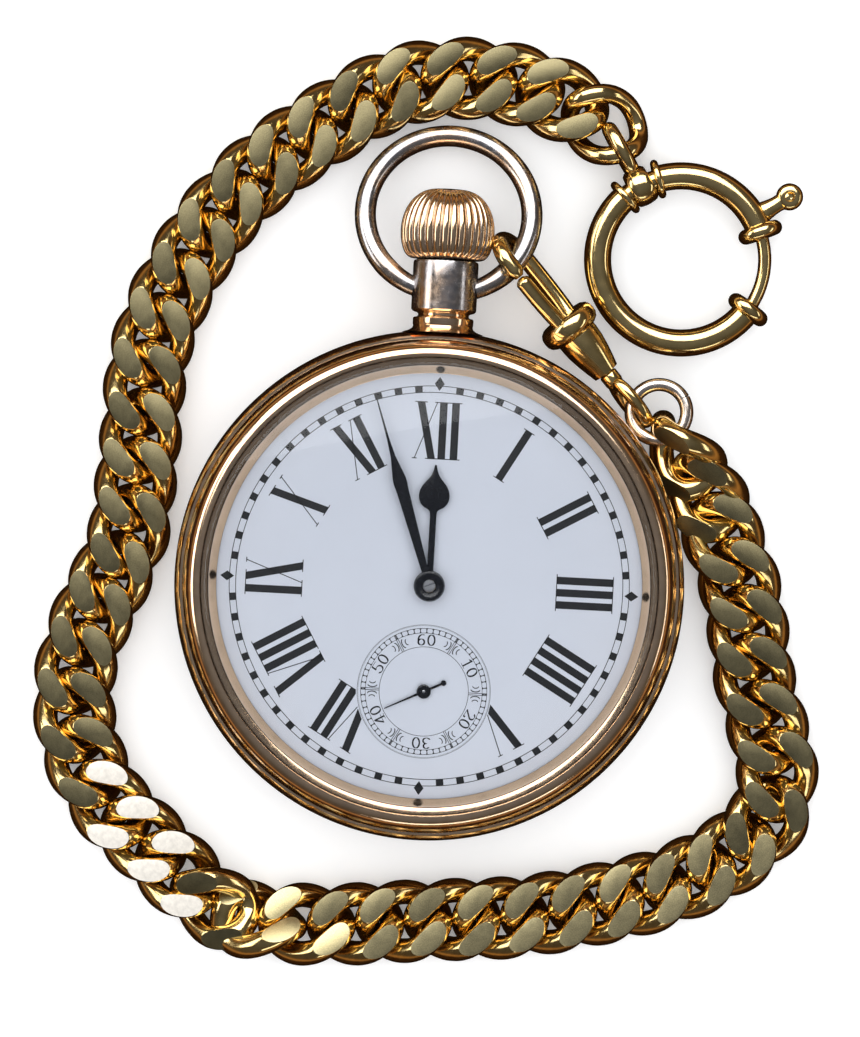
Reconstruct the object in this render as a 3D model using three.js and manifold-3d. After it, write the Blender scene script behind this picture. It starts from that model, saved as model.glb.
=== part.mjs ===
// Open-face pocket watch with its curb chain, snap and bolt ring. Millimetres, +Z up.
// The watch lies on its back with the dial up and the crown towards +Y. The origin is the
// middle of the flat under the case back. The chain lies on the same plane, looped round the case.
import * as THREE from 'three';
import { mergeVertices } from 'three/addons/utils/BufferGeometryUtils.js';
import Module from 'manifold-3d';

const wasm = await Module();
wasm.setup();

// ---------------------------------------------------------------- driving dimensions

const FIT = 0.1; // running clearance between pieces that turn or slide on each other
const SEAT = 0.05; // gap between pieces that are pressed or screwed together
const CLEAR = 0.3; // room round a piece that only passes through
const MESH_GAP = 0.05; // daylight between the tips of two wheels that mesh

const CASE_RADIUS = 25; // outer radius at the widest point
const CASE = {
  radius: CASE_RADIUS,
  middleZ: 5.9, // height of the widest point, and of the winding stem
  backFlatRadius: 9,
  backRimZ: 3.0, // where the back meets the middle
  bezelZ: 8.9, // where the bezel meets the middle
  grooveRadius: CASE_RADIUS - 0.9, // the two joint lines round the case
  wall: 0.8,
  segments: 40,
};
const BEZEL = {
  top: 12.0, lipRadius: CASE_RADIUS - 2.75, throatRadius: CASE_RADIUS - 3.4,
  dialEdge: CASE_RADIUS - 4.25,
};
const CRYSTAL = { thickness: 1.2, bevel: 0.5 };
const DIAL = { radius: BEZEL.dialEdge + 0.35, bottom: 8.7, thickness: 0.5 };
const PLATE = { radius: 18.3, bottom: 5.6, thickness: 1.8 };
const BRIDGE = { bottom: 2.3, thickness: 1.0, radius: 17.6, footWidth: 2.0 };
const MOVEMENT_RING = { outer: CASE_RADIUS - 2.6, bottom: 5.8, top: 8.5 };

const PENDANT = {
  radius: 3.2, neckRadius: 2.45, baseRadius: 2.85, bore: 1.7,
  baseY: CASE_RADIUS + 1.2, neckY: CASE_RADIUS + 1.9, top: CASE_RADIUS + 6.9,
};
const BOW = {
  ringRadius: 8.2, wire: 2.1, pinRadius: 0.7, hingeY: CASE_RADIUS + 4.9,
  sideRoom: 0.18, // gap between the bow's ends and the pendant
  droop: 16, // degrees that the bow leans back at rest
};
const CROWN = {
  radius: 4.62, length: 6.9, topRadius: 1.6, flutes: 33, fluteDepth: 0.32,
  widestShare: 0.4, // how far along the crown it is widest
};
const STEM = { radius: 0.75, innerEnd: 9.2, seat: 0.95 };

const TRAIN = {
  secondsOffset: 10.3, // small-seconds centre below the middle of the dial
  centreTeeth: 64, centreRadius: 6.8, thirdPinionTeeth: 8, thirdPinionRadius: 0.85,
  thirdTeeth: 60, thirdRadius: 5.6, fourthPinionTeeth: 8, fourthPinionRadius: 0.75,
  fourthTeeth: 60, fourthRadius: 4.55, escapePinionTeeth: 6, escapePinionRadius: 0.45,
  escapeTeeth: 15, escapeRadius: 3.2, escapeBearing: -15,
  barrelTeeth: 70, barrelRadius: 7.0, centrePinionTeeth: 10, centrePinionRadius: 1.0,
  barrelBearing: 40, wheelThickness: 0.25, toothDepth: 0.28, arborRadius: 0.35,
};
const BALANCE = { radius: 5.9, rim: 0.6, forkLength: 3.7, bearing: 45, palletDistance: 4.15 };
const MOTION = {
  cannonTeeth: 12, cannonRadius: 0.95, minuteTeeth: 36, minuteRadius: 2.65,
  pinionTeeth: 10, pinionRadius: 0.72, hourTeeth: 40, hourRadius: 2.85, bearing: 120,
};
const WINDING = {
  ratchetTeeth: 45, ratchetRadius: 5.4, crownTeeth: 40, crownRadius: 4.8,
  pinionRadius: 1.75, pinionTeeth: 14, pinionY: 15.0, pinionLength: 1.5, ringRadius: 2.85,
};
const HANDS = {
  secondsZ: 9.4, hourZ: 9.7, minuteZ: 10.15, thickness: 0.18,
  minuteLength: 19.4, hourLength: 11.8, hubRadius: 1.55, secondsTip: 4.2, secondsTail: 2.0,
};
const HAND_ANGLES = { minute: 18.6, hour: -0.2, seconds: 116 }; // degrees left of the crown

const HOOK_WIRE = 1.6;
const HOOK_ROOM = 0.75; // gap between the snap's hook and the bow's wire
const SNAP = {
  collar: [12.4, BOW.hingeY - 3.7, 4.4], // middle of the collar
  heading: -48, slope: 6, roll: -70,
  hookReach: 10.7, hookHalfWidth: BOW.wire / 2 + HOOK_ROOM + HOOK_WIRE / 2,
  tipLength: 1.1, wire: HOOK_WIRE, gateWire: 1.2,
  collarRadius: 3.0, collarWidth: 2.2, coneLength: 5.9, coneRadius: 2.1, coneEnd: 1.35,
};
const SNAP_EYE = { length: 6.2, width: 4.3, wire: 1.1, reach: 9.7, roll: 75 };
const JUMP_RING = { centre: [21.7, 18.2, 3.4], radius: 2.75, wire: 1.2, tilt: 8, rise: -41 };
const LINK = {
  length: 9.4, width: 8.0, wire: 1.95, squareness: 2.4, sides: 4, steps: 10,
  twist: 50, // degrees between the link's two ends and its middle
  halfThickness: 1.75, // where the two faces of the chain are ground flat
};
const LINK_ROLLS = [50, 20]; // the first links hang on edge from the jump ring
const LINKS_PER_RUN = 3;
const CHAIN_RUNS = 15;
// The chain's middle line from the jump ring round to the bolt ring, as it lies on the table.
const CHAIN_ROUTE = [
  [24.2, 14.2, 3.3], [26.5, 10.9, 2.3], [28.1, 7.6, 1.8], [29.9, 3.6, 1.8],
  [31.3, -0.8, 1.8], [32.3, -6.5, 1.8], [34.1, -12.3, 1.8], [35.3, -16.8, 1.8],
  [34.6, -21.2, 1.8], [31.6, -24.6, 1.8], [27.8, -27.2, 1.8], [24.0, -28.9, 1.8],
  [19.8, -30.2, 1.8], [10.9, -32.2, 1.8], [1.3, -33.1, 1.8], [-8.4, -34.0, 1.8],
  [-16.0, -33.9, 1.8], [-20.4, -32.2, 1.8], [-23.6, -29.4, 1.8], [-26.7, -26.6, 1.8],
  [-29.9, -23.8, 1.8], [-32.5, -20.1, 1.8], [-34.1, -15.8, 1.8], [-34.5, -10.9, 1.8],
  [-33.5, -6.1, 1.8], [-31.8, -1.8, 1.8], [-30.1, 2.7, 1.8], [-29.3, 12.1, 1.8],
  [-28.8, 21.2, 1.8], [-26.8, 27.8, 1.8], [-23.2, 34.5, 1.8], [-18.8, 39.8, 1.8],
  [-12.6, 44.8, 1.8], [-5.6, 49.0, 1.8], [1.4, 50.2, 1.8], [6.6, 49.7, 1.8],
  [11.2, 48.2, 1.8], [14.9, 46.3, 1.9],
];
const BOLT_RING = {
  centre: [23.15, 33.4, 2.3], radius: 8.25, tube: 2.7, gapFrom: -34, gapTo: 22,
  boltWire: 1.3, boltTail: 52, boltTravel: 45, collarRadius: 2.25, collarWidth: 1.5,
  swivelBearing: 122, swivelHalfGap: 13, neckRadius: 1.0,
  knobBearing: 33, knobRadius: 1.3, knobReach: 12.3, knobThickness: 1.3, stalkWidth: 0.8,
  eyeLength: 6.2, eyeWidth: 4.8, eyeWire: 1.2, eyeReach: 12.25, eyeLift: 0.4,
};

// ---------------------------------------------------------------- materials

const metal = (color, roughness) =>
  new THREE.MeshStandardMaterial({ color, roughness, metalness: 1 });
const MATERIALS = {
  roseGold: () => metal(0xd9a47a, 0.22),
  chainGold: () => metal(0xc39a4e, 0.28),
  palePlate: () => metal(0xb9b2ab, 0.3),
  brass: () => metal(0xcaa55a, 0.35),
  steel: () => metal(0xc4c7cb, 0.3),
  blueSteel: () => metal(0x1b1f2b, 0.35),
  nickel: () => metal(0xcfcac0, 0.35),
  enamel: () => new THREE.MeshStandardMaterial({ color: 0xe6eaf2, roughness: 0.15 }),
  glass: () => new THREE.MeshStandardMaterial({
    color: 0xffffff, roughness: 0.02, transparent: true, opacity: 0.2,
  }),
};

// ---------------------------------------------------------------- solids and their joins

const radians = THREE.MathUtils.degToRad;
const polar = (radius, degrees) =>
  new THREE.Vector2(radius * Math.cos(radians(degrees)), radius * Math.sin(radians(degrees)));

// Six times the volume that the triangles close round: negative when they face inwards.
function signedVolume(position, index) {
  const [a, b, c] = [new THREE.Vector3(), new THREE.Vector3(), new THREE.Vector3()];
  let total = 0;
  for (let i = 0; i < index.length; i += 3) {
    a.fromBufferAttribute(position, index[i]);
    b.fromBufferAttribute(position, index[i + 1]);
    c.fromBufferAttribute(position, index[i + 2]);
    total += a.dot(b.cross(c));
  }
  return total;
}

// A three.js geometry as a solid that can be joined and cut.
function solid(geometry) {
  const bare = new THREE.BufferGeometry();
  bare.setAttribute('position', geometry.getAttribute('position').clone());
  if (geometry.index) bare.setIndex(geometry.index.clone());
  const merged = mergeVertices(bare, 1e-5);
  const position = merged.getAttribute('position');
  const kept = [];
  const index = merged.index.array;
  for (let i = 0; i < index.length; i += 3) {
    const [a, b, c] = [index[i], index[i + 1], index[i + 2]];
    if (a !== b && b !== c && c !== a) kept.push(a, b, c);
  }
  if (signedVolume(position, kept) < 0) kept.reverse();
  return new wasm.Manifold(new wasm.Mesh({
    numProp: 3,
    vertProperties: new Float32Array(position.array),
    triVerts: new Uint32Array(kept),
  }));
}

function geometryOf(body) {
  const mesh = body.getMesh();
  const geometry = new THREE.BufferGeometry();
  geometry.setAttribute('position', new THREE.BufferAttribute(mesh.vertProperties, 3));
  geometry.setIndex(new THREE.BufferAttribute(mesh.triVerts, 1));
  geometry.computeVertexNormals();
  return geometry;
}

const join = (...bodies) => bodies.reduce((whole, body) => whole.add(body));
const cut = (body, ...tools) => tools.reduce((rest, tool) => rest.subtract(tool), body);

// A turned piece round +Z from its outline of [radius, height] points.
function turned(points, segments = 24, closed = true) {
  const outline = points.map(([radius, height]) => new THREE.Vector2(radius, height));
  if (closed) outline.push(outline[0].clone());
  return solid(new THREE.LatheGeometry(outline, segments).rotateX(Math.PI / 2));
}

const rod = (radius, from, to, segments = 12, x = 0, y = 0) => solid(
  new THREE.CylinderGeometry(radius, radius, to - from, segments)
    .rotateX(Math.PI / 2).translate(x, y, (from + to) / 2));

const washer = (inner, outer, from, to, segments = 24) =>
  turned([[inner, from], [outer, from], [outer, to], [inner, to]], segments);

const box = (x, y, z, width, depth, height) =>
  solid(new THREE.BoxGeometry(width, depth, height).translate(x, y, z));

function slab(shape, from, to, curveSegments = 8) {
  const settings = { depth: to - from, bevelEnabled: false, curveSegments };
  return solid(new THREE.ExtrudeGeometry(shape, settings).translate(0, 0, from));
}

function outlineOf(points) {
  return new THREE.Shape(points.map(([x, y]) => new THREE.Vector2(x, y)));
}

// A toothed disc: each tooth is one point at the tip radius between two at the root radius.
function toothed(teeth, tipRadius, depth, from, to, turn = 0) {
  const points = [];
  for (let i = 0; i < teeth; i += 1) {
    const angle = turn + (360 * i) / teeth;
    points.push(polar(tipRadius - depth, angle - 180 / teeth), polar(tipRadius, angle));
  }
  return slab(new THREE.Shape(points), from, to);
}

// A wire bent along an open curve, with flat ends.
function wire(curve, radius, steps, sides = 8) {
  const section = new THREE.Shape();
  for (let i = 0; i < sides; i += 1) {
    const point = polar(radius, (360 * i) / sides);
    if (i === 0) section.moveTo(point.x, point.y);
    else section.lineTo(point.x, point.y);
  }
  return solid(new THREE.ExtrudeGeometry(section, { steps, extrudePath: curve }));
}

// A closed wire ring whose middle line is bend(t), t from 0 to 1, with its frame there.
function closedWire(bend, radius, steps, sides) {
  const ring = new THREE.TorusGeometry(1, 0.5, sides, steps);
  const position = ring.getAttribute('position');
  for (let i = 0; i < position.count; i += 1) {
    const around = (i % (steps + 1)) / steps;
    const across = (Math.floor(i / (steps + 1)) / sides) * 2 * Math.PI;
    const { point, outward, side } = bend(around % 1);
    point.addScaledVector(outward, radius * Math.cos(across));
    point.addScaledVector(side, radius * Math.sin(across));
    position.setXYZ(i, point.x, point.y, point.z);
  }
  return solid(ring);
}

// The frame of a closed middle line at t, from its two neighbours and the line's centre.
function frameAt(line, t) {
  const step = 1e-3;
  const point = line(t);
  const along = line(t + step).sub(line(t - step)).normalize();
  const side = new THREE.Vector3().crossVectors(along, point).normalize();
  const outward = new THREE.Vector3().crossVectors(side, along).normalize();
  return { point, outward, side };
}

// An oval ring in its own XY plane, long along X.
function ovalRing(length, width, wireDiameter, steps = 20, sides = 8) {
  const [a, b] = [(length - wireDiameter) / 2, (width - wireDiameter) / 2];
  const line = (t) => new THREE.Vector3(
    a * Math.cos(2 * Math.PI * t), b * Math.sin(2 * Math.PI * t), 0);
  return closedWire((t) => frameAt(line, t), wireDiameter / 2, steps, sides);
}

const placed = (body, matrix) => body.transform(Array.from(matrix.elements));
const moved = (body, x, y, z) => body.translate([x, y, z]);

// ---------------------------------------------------------------- assembly

const watch = new THREE.Group();

function addPiece(name, body, material) {
  const mesh = new THREE.Mesh(geometryOf(body), material);
  mesh.name = name;
  watch.add(mesh);
}

const point3 = ([x, y, z]) => new THREE.Vector3(x, y, z);

// ---------------------------------------------------------------- case

const dialTop = DIAL.bottom + DIAL.thickness;
const crystalTop = BEZEL.top + 0.2;
const crystalBottom = crystalTop - CRYSTAL.thickness;

// Points on the curve of the case back, from its flat to its rim.
function backCurve(flatRadius, rimRadius, from, to, count = 4) {
  const points = [];
  for (let i = 0; i <= count; i += 1) {
    const angle = (i / count) * (Math.PI / 2) * 0.8;
    const run = Math.sin(angle) / Math.sin((Math.PI / 2) * 0.8);
    const rise = (1 - Math.cos(angle)) / (1 - Math.cos((Math.PI / 2) * 0.8));
    points.push([flatRadius + (rimRadius - flatRadius) * run, from + (to - from) * rise]);
  }
  return points;
}

function caseBack() {
  const outside = backCurve(CASE.backFlatRadius, CASE.grooveRadius, 0, CASE.backRimZ - SEAT);
  const insideRim = CASE.grooveRadius - CASE.wall - 0.3;
  const inside = backCurve(CASE.backFlatRadius, insideRim, CASE.wall, CASE.backRimZ - SEAT);
  return turned([[0, 0], ...outside, ...inside.reverse(), [0, CASE.wall]], CASE.segments, false);
}

function caseMiddle() {
  const outside = [];
  const low = CASE.backRimZ;
  const high = CASE.bezelZ;
  for (let i = 0; i <= 4; i += 1) {
    const height = low + ((high - low) * i) / 4;
    const reach = (height - CASE.middleZ) / (i < 2 ? low - CASE.middleZ : high - CASE.middleZ);
    const bulge = Math.sqrt(1 - 0.96 * reach * reach);
    outside.push([CASE.grooveRadius + (CASE.radius - CASE.grooveRadius) * bulge, height]);
  }
  const inner = MOVEMENT_RING.outer + FIT;
  const ledge = DIAL.radius + 0.2;
  const ring = turned([
    [inner, high], [inner, MOVEMENT_RING.bottom - SEAT], [ledge, MOVEMENT_RING.bottom - SEAT],
    [ledge, low + 1], [CASE.grooveRadius - CASE.wall - 0.3, low + 0.4],
    [CASE.grooveRadius - CASE.wall - 0.3, low], ...outside,
  ], CASE.segments);
  const stemHole = rod(STEM.radius + CLEAR, 0, 30, 12);
  return cut(ring, alongY(stemHole));
}

// Turns a piece made along +Z so that it runs along +Y at the height of the stem.
function alongY(body) {
  const turn = new THREE.Matrix4().makeRotationX(-Math.PI / 2);
  turn.setPosition(0, 0, CASE.middleZ);
  return placed(body, turn);
}

function bezel() {
  const outside = [];
  for (let i = 0; i <= 3; i += 1) {
    const angle = (i / 3) * (Math.PI / 2);
    outside.push([
      BEZEL.lipRadius + 0.15 + (CASE.grooveRadius - BEZEL.lipRadius - 0.15) * Math.cos(angle),
      CASE.bezelZ + SEAT + 0.3 + (BEZEL.top - CASE.bezelZ - SEAT - 0.3) * Math.sin(angle),
    ]);
  }
  return turned([
    [BEZEL.dialEdge, CASE.bezelZ + 0.45], [CASE.grooveRadius - 0.3, CASE.bezelZ + SEAT],
    ...outside, [BEZEL.lipRadius + SEAT, BEZEL.top], [BEZEL.lipRadius + SEAT, crystalBottom],
    [BEZEL.throatRadius, crystalBottom - SEAT], [BEZEL.dialEdge, dialTop + 0.25],
  ], CASE.segments);
}

function crystal() {
  const edge = BEZEL.lipRadius;
  return turned([
    [0, crystalBottom], [edge, crystalBottom], [edge, crystalTop - CRYSTAL.bevel],
    [edge - CRYSTAL.bevel, crystalTop], [0, crystalTop],
  ], CASE.segments, false);
}

function dial() {
  const plate = turned([
    [MOTION.cannonRadius + 0.75, DIAL.bottom], [DIAL.radius, DIAL.bottom],
    [DIAL.radius, dialTop - 0.1], [DIAL.radius - 0.1, dialTop],
    [MOTION.cannonRadius + 0.75, dialTop],
  ], 40);
  return cut(plate, rod(0.6, 0, 20, 12, 0, -TRAIN.secondsOffset));
}

function movementRing() {
  const { outer, bottom, top } = MOVEMENT_RING;
  const ring = washer(PLATE.radius + FIT, outer, bottom, top, 40);
  return cut(ring, alongY(rod(STEM.radius + CLEAR, 0, 30)));
}

// ---------------------------------------------------------------- pendant, crown and bow

function pendant() {
  const foot = CASE.radius + 0.12;
  const tube = turned([
    [PENDANT.bore, foot], [PENDANT.baseRadius + 0.6, foot], [PENDANT.baseRadius, foot + 0.35],
    [PENDANT.baseRadius, PENDANT.baseY], [PENDANT.neckRadius, PENDANT.baseY + 0.05],
    [PENDANT.neckRadius, PENDANT.neckY], [PENDANT.radius - 0.15, PENDANT.neckY + 0.02],
    [PENDANT.radius, PENDANT.neckY + 0.2], [PENDANT.radius, PENDANT.top - 0.2],
    [PENDANT.radius - 0.2, PENDANT.top], [PENDANT.bore, PENDANT.top],
  ], 20);
  const pinHole = new THREE.Matrix4().makeRotationY(Math.PI / 2)
    .setPosition(0, BOW.hingeY, CASE.middleZ);
  const hole = placed(rod(BOW.pinRadius + FIT, -5, 5, 12), pinHole);
  return cut(alongY(tube), hole);
}

function stemCollar() {
  return alongY(washer(STEM.radius + FIT, PENDANT.bore - FIT, PENDANT.baseY + 0.2, BOW.hingeY - 1.4, 16));
}

function crown() {
  const { radius, length, topRadius, widestShare, flutes, fluteDepth } = CROWN;
  const start = PENDANT.top + FIT;
  const bore = STEM.radius + SEAT;
  const outline = [[bore, start]];
  for (const angle of [-90, -45]) {
    const spot = polar(1, angle);
    outline.push([
      PENDANT.radius + (radius - PENDANT.radius) * spot.x,
      start + length * widestShare * (1 + spot.y)]);
  }
  for (const angle of [0, 30, 60, 90]) {
    const spot = polar(1, angle);
    outline.push([
      topRadius + (radius - topRadius) * spot.x,
      start + length * (widestShare + (1 - widestShare) * spot.y)]);
  }
  outline.push([0, start + length], [0, start + STEM.seat + SEAT], [bore, start + STEM.seat + SEAT]);
  const onion = turned(outline, 2 * flutes, true);
  return alongY(fluted(onion, radius - fluteDepth, fluteDepth));
}

// Presses shallow grooves into every second line of a turned piece, where it is widest.
function fluted(body, fromRadius, depth) {
  const lines = 2 * CROWN.flutes;
  return body.warp((vertex) => {
    const radius = Math.hypot(vertex[0], vertex[1]);
    const line = Math.round((Math.atan2(vertex[1], vertex[0]) * lines) / (2 * Math.PI));
    if (Math.abs(line % 2) === 1 && radius > fromRadius * 0.6) {
      vertex[0] *= (radius - depth) / radius;
      vertex[1] *= (radius - depth) / radius;
    }
  });
}

function windingStem() {
  return alongY(rod(STEM.radius, STEM.innerEnd, PENDANT.top + FIT + STEM.seat, 10));
}

function bow() {
  const { ringRadius, wire: thickness, hingeY, pinRadius } = BOW;
  const reach = PENDANT.radius + BOW.sideRoom + thickness / 2;
  const hingeToCentre = Math.sqrt(ringRadius ** 2 - reach ** 2);
  const endAngle = Math.acos(reach / ringRadius) * THREE.MathUtils.RAD2DEG;
  const points = [];
  for (let i = 0; i <= 24; i += 1) {
    const angle = -endAngle + ((180 + 2 * endAngle) * i) / 24;
    const spot = polar(ringRadius, angle);
    points.push(new THREE.Vector3(spot.x, spot.y + hingeToCentre, 0));
  }
  const ring = wire(new THREE.CatmullRomCurve3(points), thickness / 2, 28, 8);
  const sideways = new THREE.Matrix4().makeRotationY(Math.PI / 2);
  const pinEnd = PENDANT.bore + 0.4;
  const pins = [-1, 1].map((side) => placed(
    rod(pinRadius, Math.min(side * pinEnd, side * reach), Math.max(side * pinEnd, side * reach), 10),
    sideways));
  const droop = new THREE.Matrix4().makeRotationX(-radians(BOW.droop))
    .setPosition(0, hingeY, CASE.middleZ);
  return placed(join(ring, ...pins), droop);
}

// ---------------------------------------------------------------- movement

const thirdPlace = meetingPoint(
  [0, 0], TRAIN.centreRadius + TRAIN.thirdPinionRadius,
  [0, -TRAIN.secondsOffset], TRAIN.thirdRadius + TRAIN.fourthPinionRadius, -1);
const fourthPlace = [0, -TRAIN.secondsOffset];
const escapePlace = offset(
  fourthPlace, TRAIN.fourthRadius + TRAIN.escapePinionRadius, TRAIN.escapeBearing);
const palletPlace = offset(escapePlace, BALANCE.palletDistance, BALANCE.bearing);
const balancePlace = offset(palletPlace, BALANCE.forkLength, BALANCE.bearing);
const barrelPlace = offset(
  [0, 0], TRAIN.barrelRadius + TRAIN.centrePinionRadius, TRAIN.barrelBearing);
const minutePlace = offset([0, 0], MOTION.cannonRadius + MOTION.minuteRadius, MOTION.bearing);
const crownWheelPlace = [0, barrelPlace[1] + Math.sqrt(
  (WINDING.ratchetRadius + WINDING.crownRadius) ** 2 - barrelPlace[0] ** 2)];

function offset([x, y], distance, bearing) {
  const step = polar(distance, bearing);
  return [x + step.x, y + step.y];
}

// The point at two distances from two others, on the side of negative or positive X.
function meetingPoint(a, fromA, b, fromB, side) {
  const gap = Math.hypot(b[0] - a[0], b[1] - a[1]);
  const along = (fromA ** 2 - fromB ** 2 + gap ** 2) / (2 * gap);
  const across = Math.sqrt(fromA ** 2 - along ** 2) * side;
  const [ux, uy] = [(b[0] - a[0]) / gap, (b[1] - a[1]) / gap];
  return [a[0] + along * ux - across * uy, a[1] + along * uy + across * ux];
}

const LEVEL = {
  bridge: BRIDGE.bottom, bridgeTop: BRIDGE.bottom + BRIDGE.thickness,
  plate: PLATE.bottom, plateTop: PLATE.bottom + PLATE.thickness,
  third: 3.8, fourth: 4.4, centre: 5.05, escape: 3.8, barrel: 3.65, barrelTop: 4.75,
  balance: 2.7, cock: 1.65, winding: 1.75,
};

const pivotHole = ([x, y]) => rod(TRAIN.arborRadius + FIT, 0, 20, 8, x, y);

// A train wheel with its arbor and its pinion, all one piece.
function trainWheel(place, wheel, pinion, arbor) {
  const disc = toothed(wheel.teeth, wheel.radius - MESH_GAP / 2, TRAIN.toothDepth,
    wheel.z, wheel.z + TRAIN.wheelThickness);
  const leaves = toothed(pinion.teeth, pinion.radius - MESH_GAP / 2, pinion.radius * 0.3,
    pinion.from, pinion.to);
  const shaft = rod(TRAIN.arborRadius, arbor[0], arbor[1], 8);
  return moved(join(disc, leaves, shaft), place[0], place[1], 0);
}

function centreWheel() {
  return trainWheel([0, 0],
    { teeth: TRAIN.centreTeeth, radius: TRAIN.centreRadius, z: LEVEL.centre },
    { teeth: TRAIN.centrePinionTeeth, radius: TRAIN.centrePinionRadius, from: 3.7,
      to: LEVEL.centre + 0.1 },
    [2.5, 9.1]);
}

function thirdWheel() {
  return trainWheel(thirdPlace,
    { teeth: TRAIN.thirdTeeth, radius: TRAIN.thirdRadius, z: LEVEL.third },
    { teeth: TRAIN.thirdPinionTeeth, radius: TRAIN.thirdPinionRadius, from: LEVEL.third + 0.1,
      to: LEVEL.plate - FIT },
    [2.5, 6.8]);
}

function fourthWheel() {
  return trainWheel(fourthPlace,
    { teeth: TRAIN.fourthTeeth, radius: TRAIN.fourthRadius, z: LEVEL.fourth },
    { teeth: TRAIN.fourthPinionTeeth, radius: TRAIN.fourthPinionRadius, from: 3.5,
      to: LEVEL.fourth + 0.1 },
    [2.5, HANDS.secondsZ - 0.1]);
}

function escapeWheel() {
  const wheel = [];
  const { escapeTeeth, escapeRadius } = TRAIN;
  for (let i = 0; i < escapeTeeth; i += 1) {
    const start = (360 * i) / escapeTeeth;
    wheel.push(polar(escapeRadius, start), polar(escapeRadius, start + 3),
      polar(escapeRadius * 0.74, start + 11), polar(escapeRadius * 0.74, start + 21));
  }
  const disc = slab(new THREE.Shape(wheel), LEVEL.escape, LEVEL.escape + TRAIN.wheelThickness);
  const leaves = toothed(TRAIN.escapePinionTeeth, TRAIN.escapePinionRadius - MESH_GAP / 2 + 0.05,
    0.05, LEVEL.fourth - 0.2, LEVEL.plate - FIT);
  const shaft = rod(0.2, 2.5, 6.8, 8);
  return moved(join(disc, leaves, shaft), escapePlace[0], escapePlace[1], 0);
}

function palletFork() {
  const z = LEVEL.escape;
  const top = z + TRAIN.wheelThickness;
  const stone = (side) => box(-0.33, side * 1.71, z + 0.13, 0.5, 0.45, 0.35);
  const arms = slab(outlineOf([
    [-0.55, -1.85], [0, -1.85], [0.45, 0], [0, 1.85], [-0.55, 1.85], [-0.25, 0],
  ]), z, top);
  const lever = slab(outlineOf([
    [0, -0.3], [2.5, -0.16], [2.9, -0.5], [3.15, -0.5], [3.15, -0.3], [2.95, -0.2],
    [2.95, 0.2], [3.15, 0.3], [3.15, 0.5], [2.9, 0.5], [2.5, 0.16], [0, 0.3],
  ]), z, top);
  const shaft = rod(0.2, 3.1, 6.8, 8);
  const body = join(arms, lever, shaft, stone(1), stone(-1));
  const turn = new THREE.Matrix4().makeRotationZ(radians(BALANCE.bearing))
    .setPosition(palletPlace[0], palletPlace[1], 0);
  return placed(body, turn);
}

function balanceWheel() {
  const { radius, rim } = BALANCE;
  const z = LEVEL.balance;
  const ring = washer(radius - rim, radius, z, z + 0.5, 28);
  const arms = box(0, 0, z + 0.2, 2 * radius - rim, 0.7, 0.3);
  const roller = rod(0.6, 3.35, 3.65, 12);
  const staff = rod(0.2, 1.9, 6.8, 8);
  return moved(join(ring, arms, roller, staff, rod(0.32, 2.45, 3.4, 8)),
    balancePlace[0], balancePlace[1], 0);
}

// A flat spiral ribbon from an inner radius to an outer one.
function spiralRibbon(inner, outer, turns, thickness, from, to, stepsPerTurn = 14) {
  const steps = Math.round(turns * stepsPerTurn);
  const edge = (shift) => {
    const points = [];
    for (let i = 0; i <= steps; i += 1) {
      const radius = inner + ((outer - inner) * i) / steps + shift;
      points.push(polar(radius, (360 * turns * i) / steps));
    }
    return points;
  };
  const outline = [...edge(thickness / 2), ...edge(-thickness / 2).reverse()];
  return slab(new THREE.Shape(outline), from, to);
}

function hairspring() {
  const spring = spiralRibbon(0.75, 2.6, 4, 0.08, LEVEL.balance - 0.28, LEVEL.balance - 0.1, 8);
  const collet = washer(0.42, 0.8, LEVEL.balance - 0.28, LEVEL.balance - 0.1, 12);
  return moved(join(spring, collet), balancePlace[0], balancePlace[1], 0);
}

function barrel() {
  const { barrelRadius, barrelTeeth, toothDepth } = TRAIN;
  const low = LEVEL.barrel;
  const rim = toothed(barrelTeeth, barrelRadius - MESH_GAP / 2, toothDepth, low + 0.3, low + 0.6);
  const drum = rod(barrelRadius - 0.5, low, LEVEL.barrelTop, 24);
  const hollow = rod(barrelRadius - 1.0, low + 0.2, LEVEL.barrelTop - 0.15, 20);
  const bore = rod(0.75 + FIT, 0, 20, 16);
  return moved(cut(join(rim, drum), hollow, bore), barrelPlace[0], barrelPlace[1], 0);
}

function barrelArbor() {
  const shaft = rod(0.75, LEVEL.winding + 0.05, 5.5, 12);
  const core = rod(1.3, LEVEL.barrel + 0.3, LEVEL.barrelTop - 0.25, 12);
  const square = box(0, 0, LEVEL.winding + 0.3, 1.2, 1.2, 0.5);
  const pivot = rod(0.45, 5.45, 6.4, 8);
  return moved(join(shaft, core, pivot).subtract(rod(2, 0, LEVEL.bridge - 0.02)).add(
    square.translate([0, 0, 0.01])), barrelPlace[0], barrelPlace[1], 0);
}

function mainspring() {
  const spring = spiralRibbon(1.65, 5.6, 4, 0.2, LEVEL.barrel + 0.32, LEVEL.barrelTop - 0.27, 11);
  return moved(spring, barrelPlace[0], barrelPlace[1], 0);
}

function mainPlate() {
  const disc = rod(PLATE.radius, LEVEL.plate, LEVEL.plateTop, 40);
  const slotEnd = STEM.innerEnd - 0.3;
  const stemSlot = box(0, slotEnd + 6, LEVEL.plate + 0.9, 4.6, 12, 4);
  const holes = [fourthPlace, thirdPlace, escapePlace, palletPlace, balancePlace].map(pivotHole);
  const centreHole = rod(0.75, 0, 20, 12);
  const barrelHole = rod(0.45 + FIT, 0, 20, 10, barrelPlace[0], barrelPlace[1]);
  const stud = rod(0.35, LEVEL.plateTop - 0.1, LEVEL.plateTop + 0.95, 8, minutePlace[0],
    minutePlace[1]);
  return join(cut(disc, stemSlot, centreHole, barrelHole, ...holes), stud);
}

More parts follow.
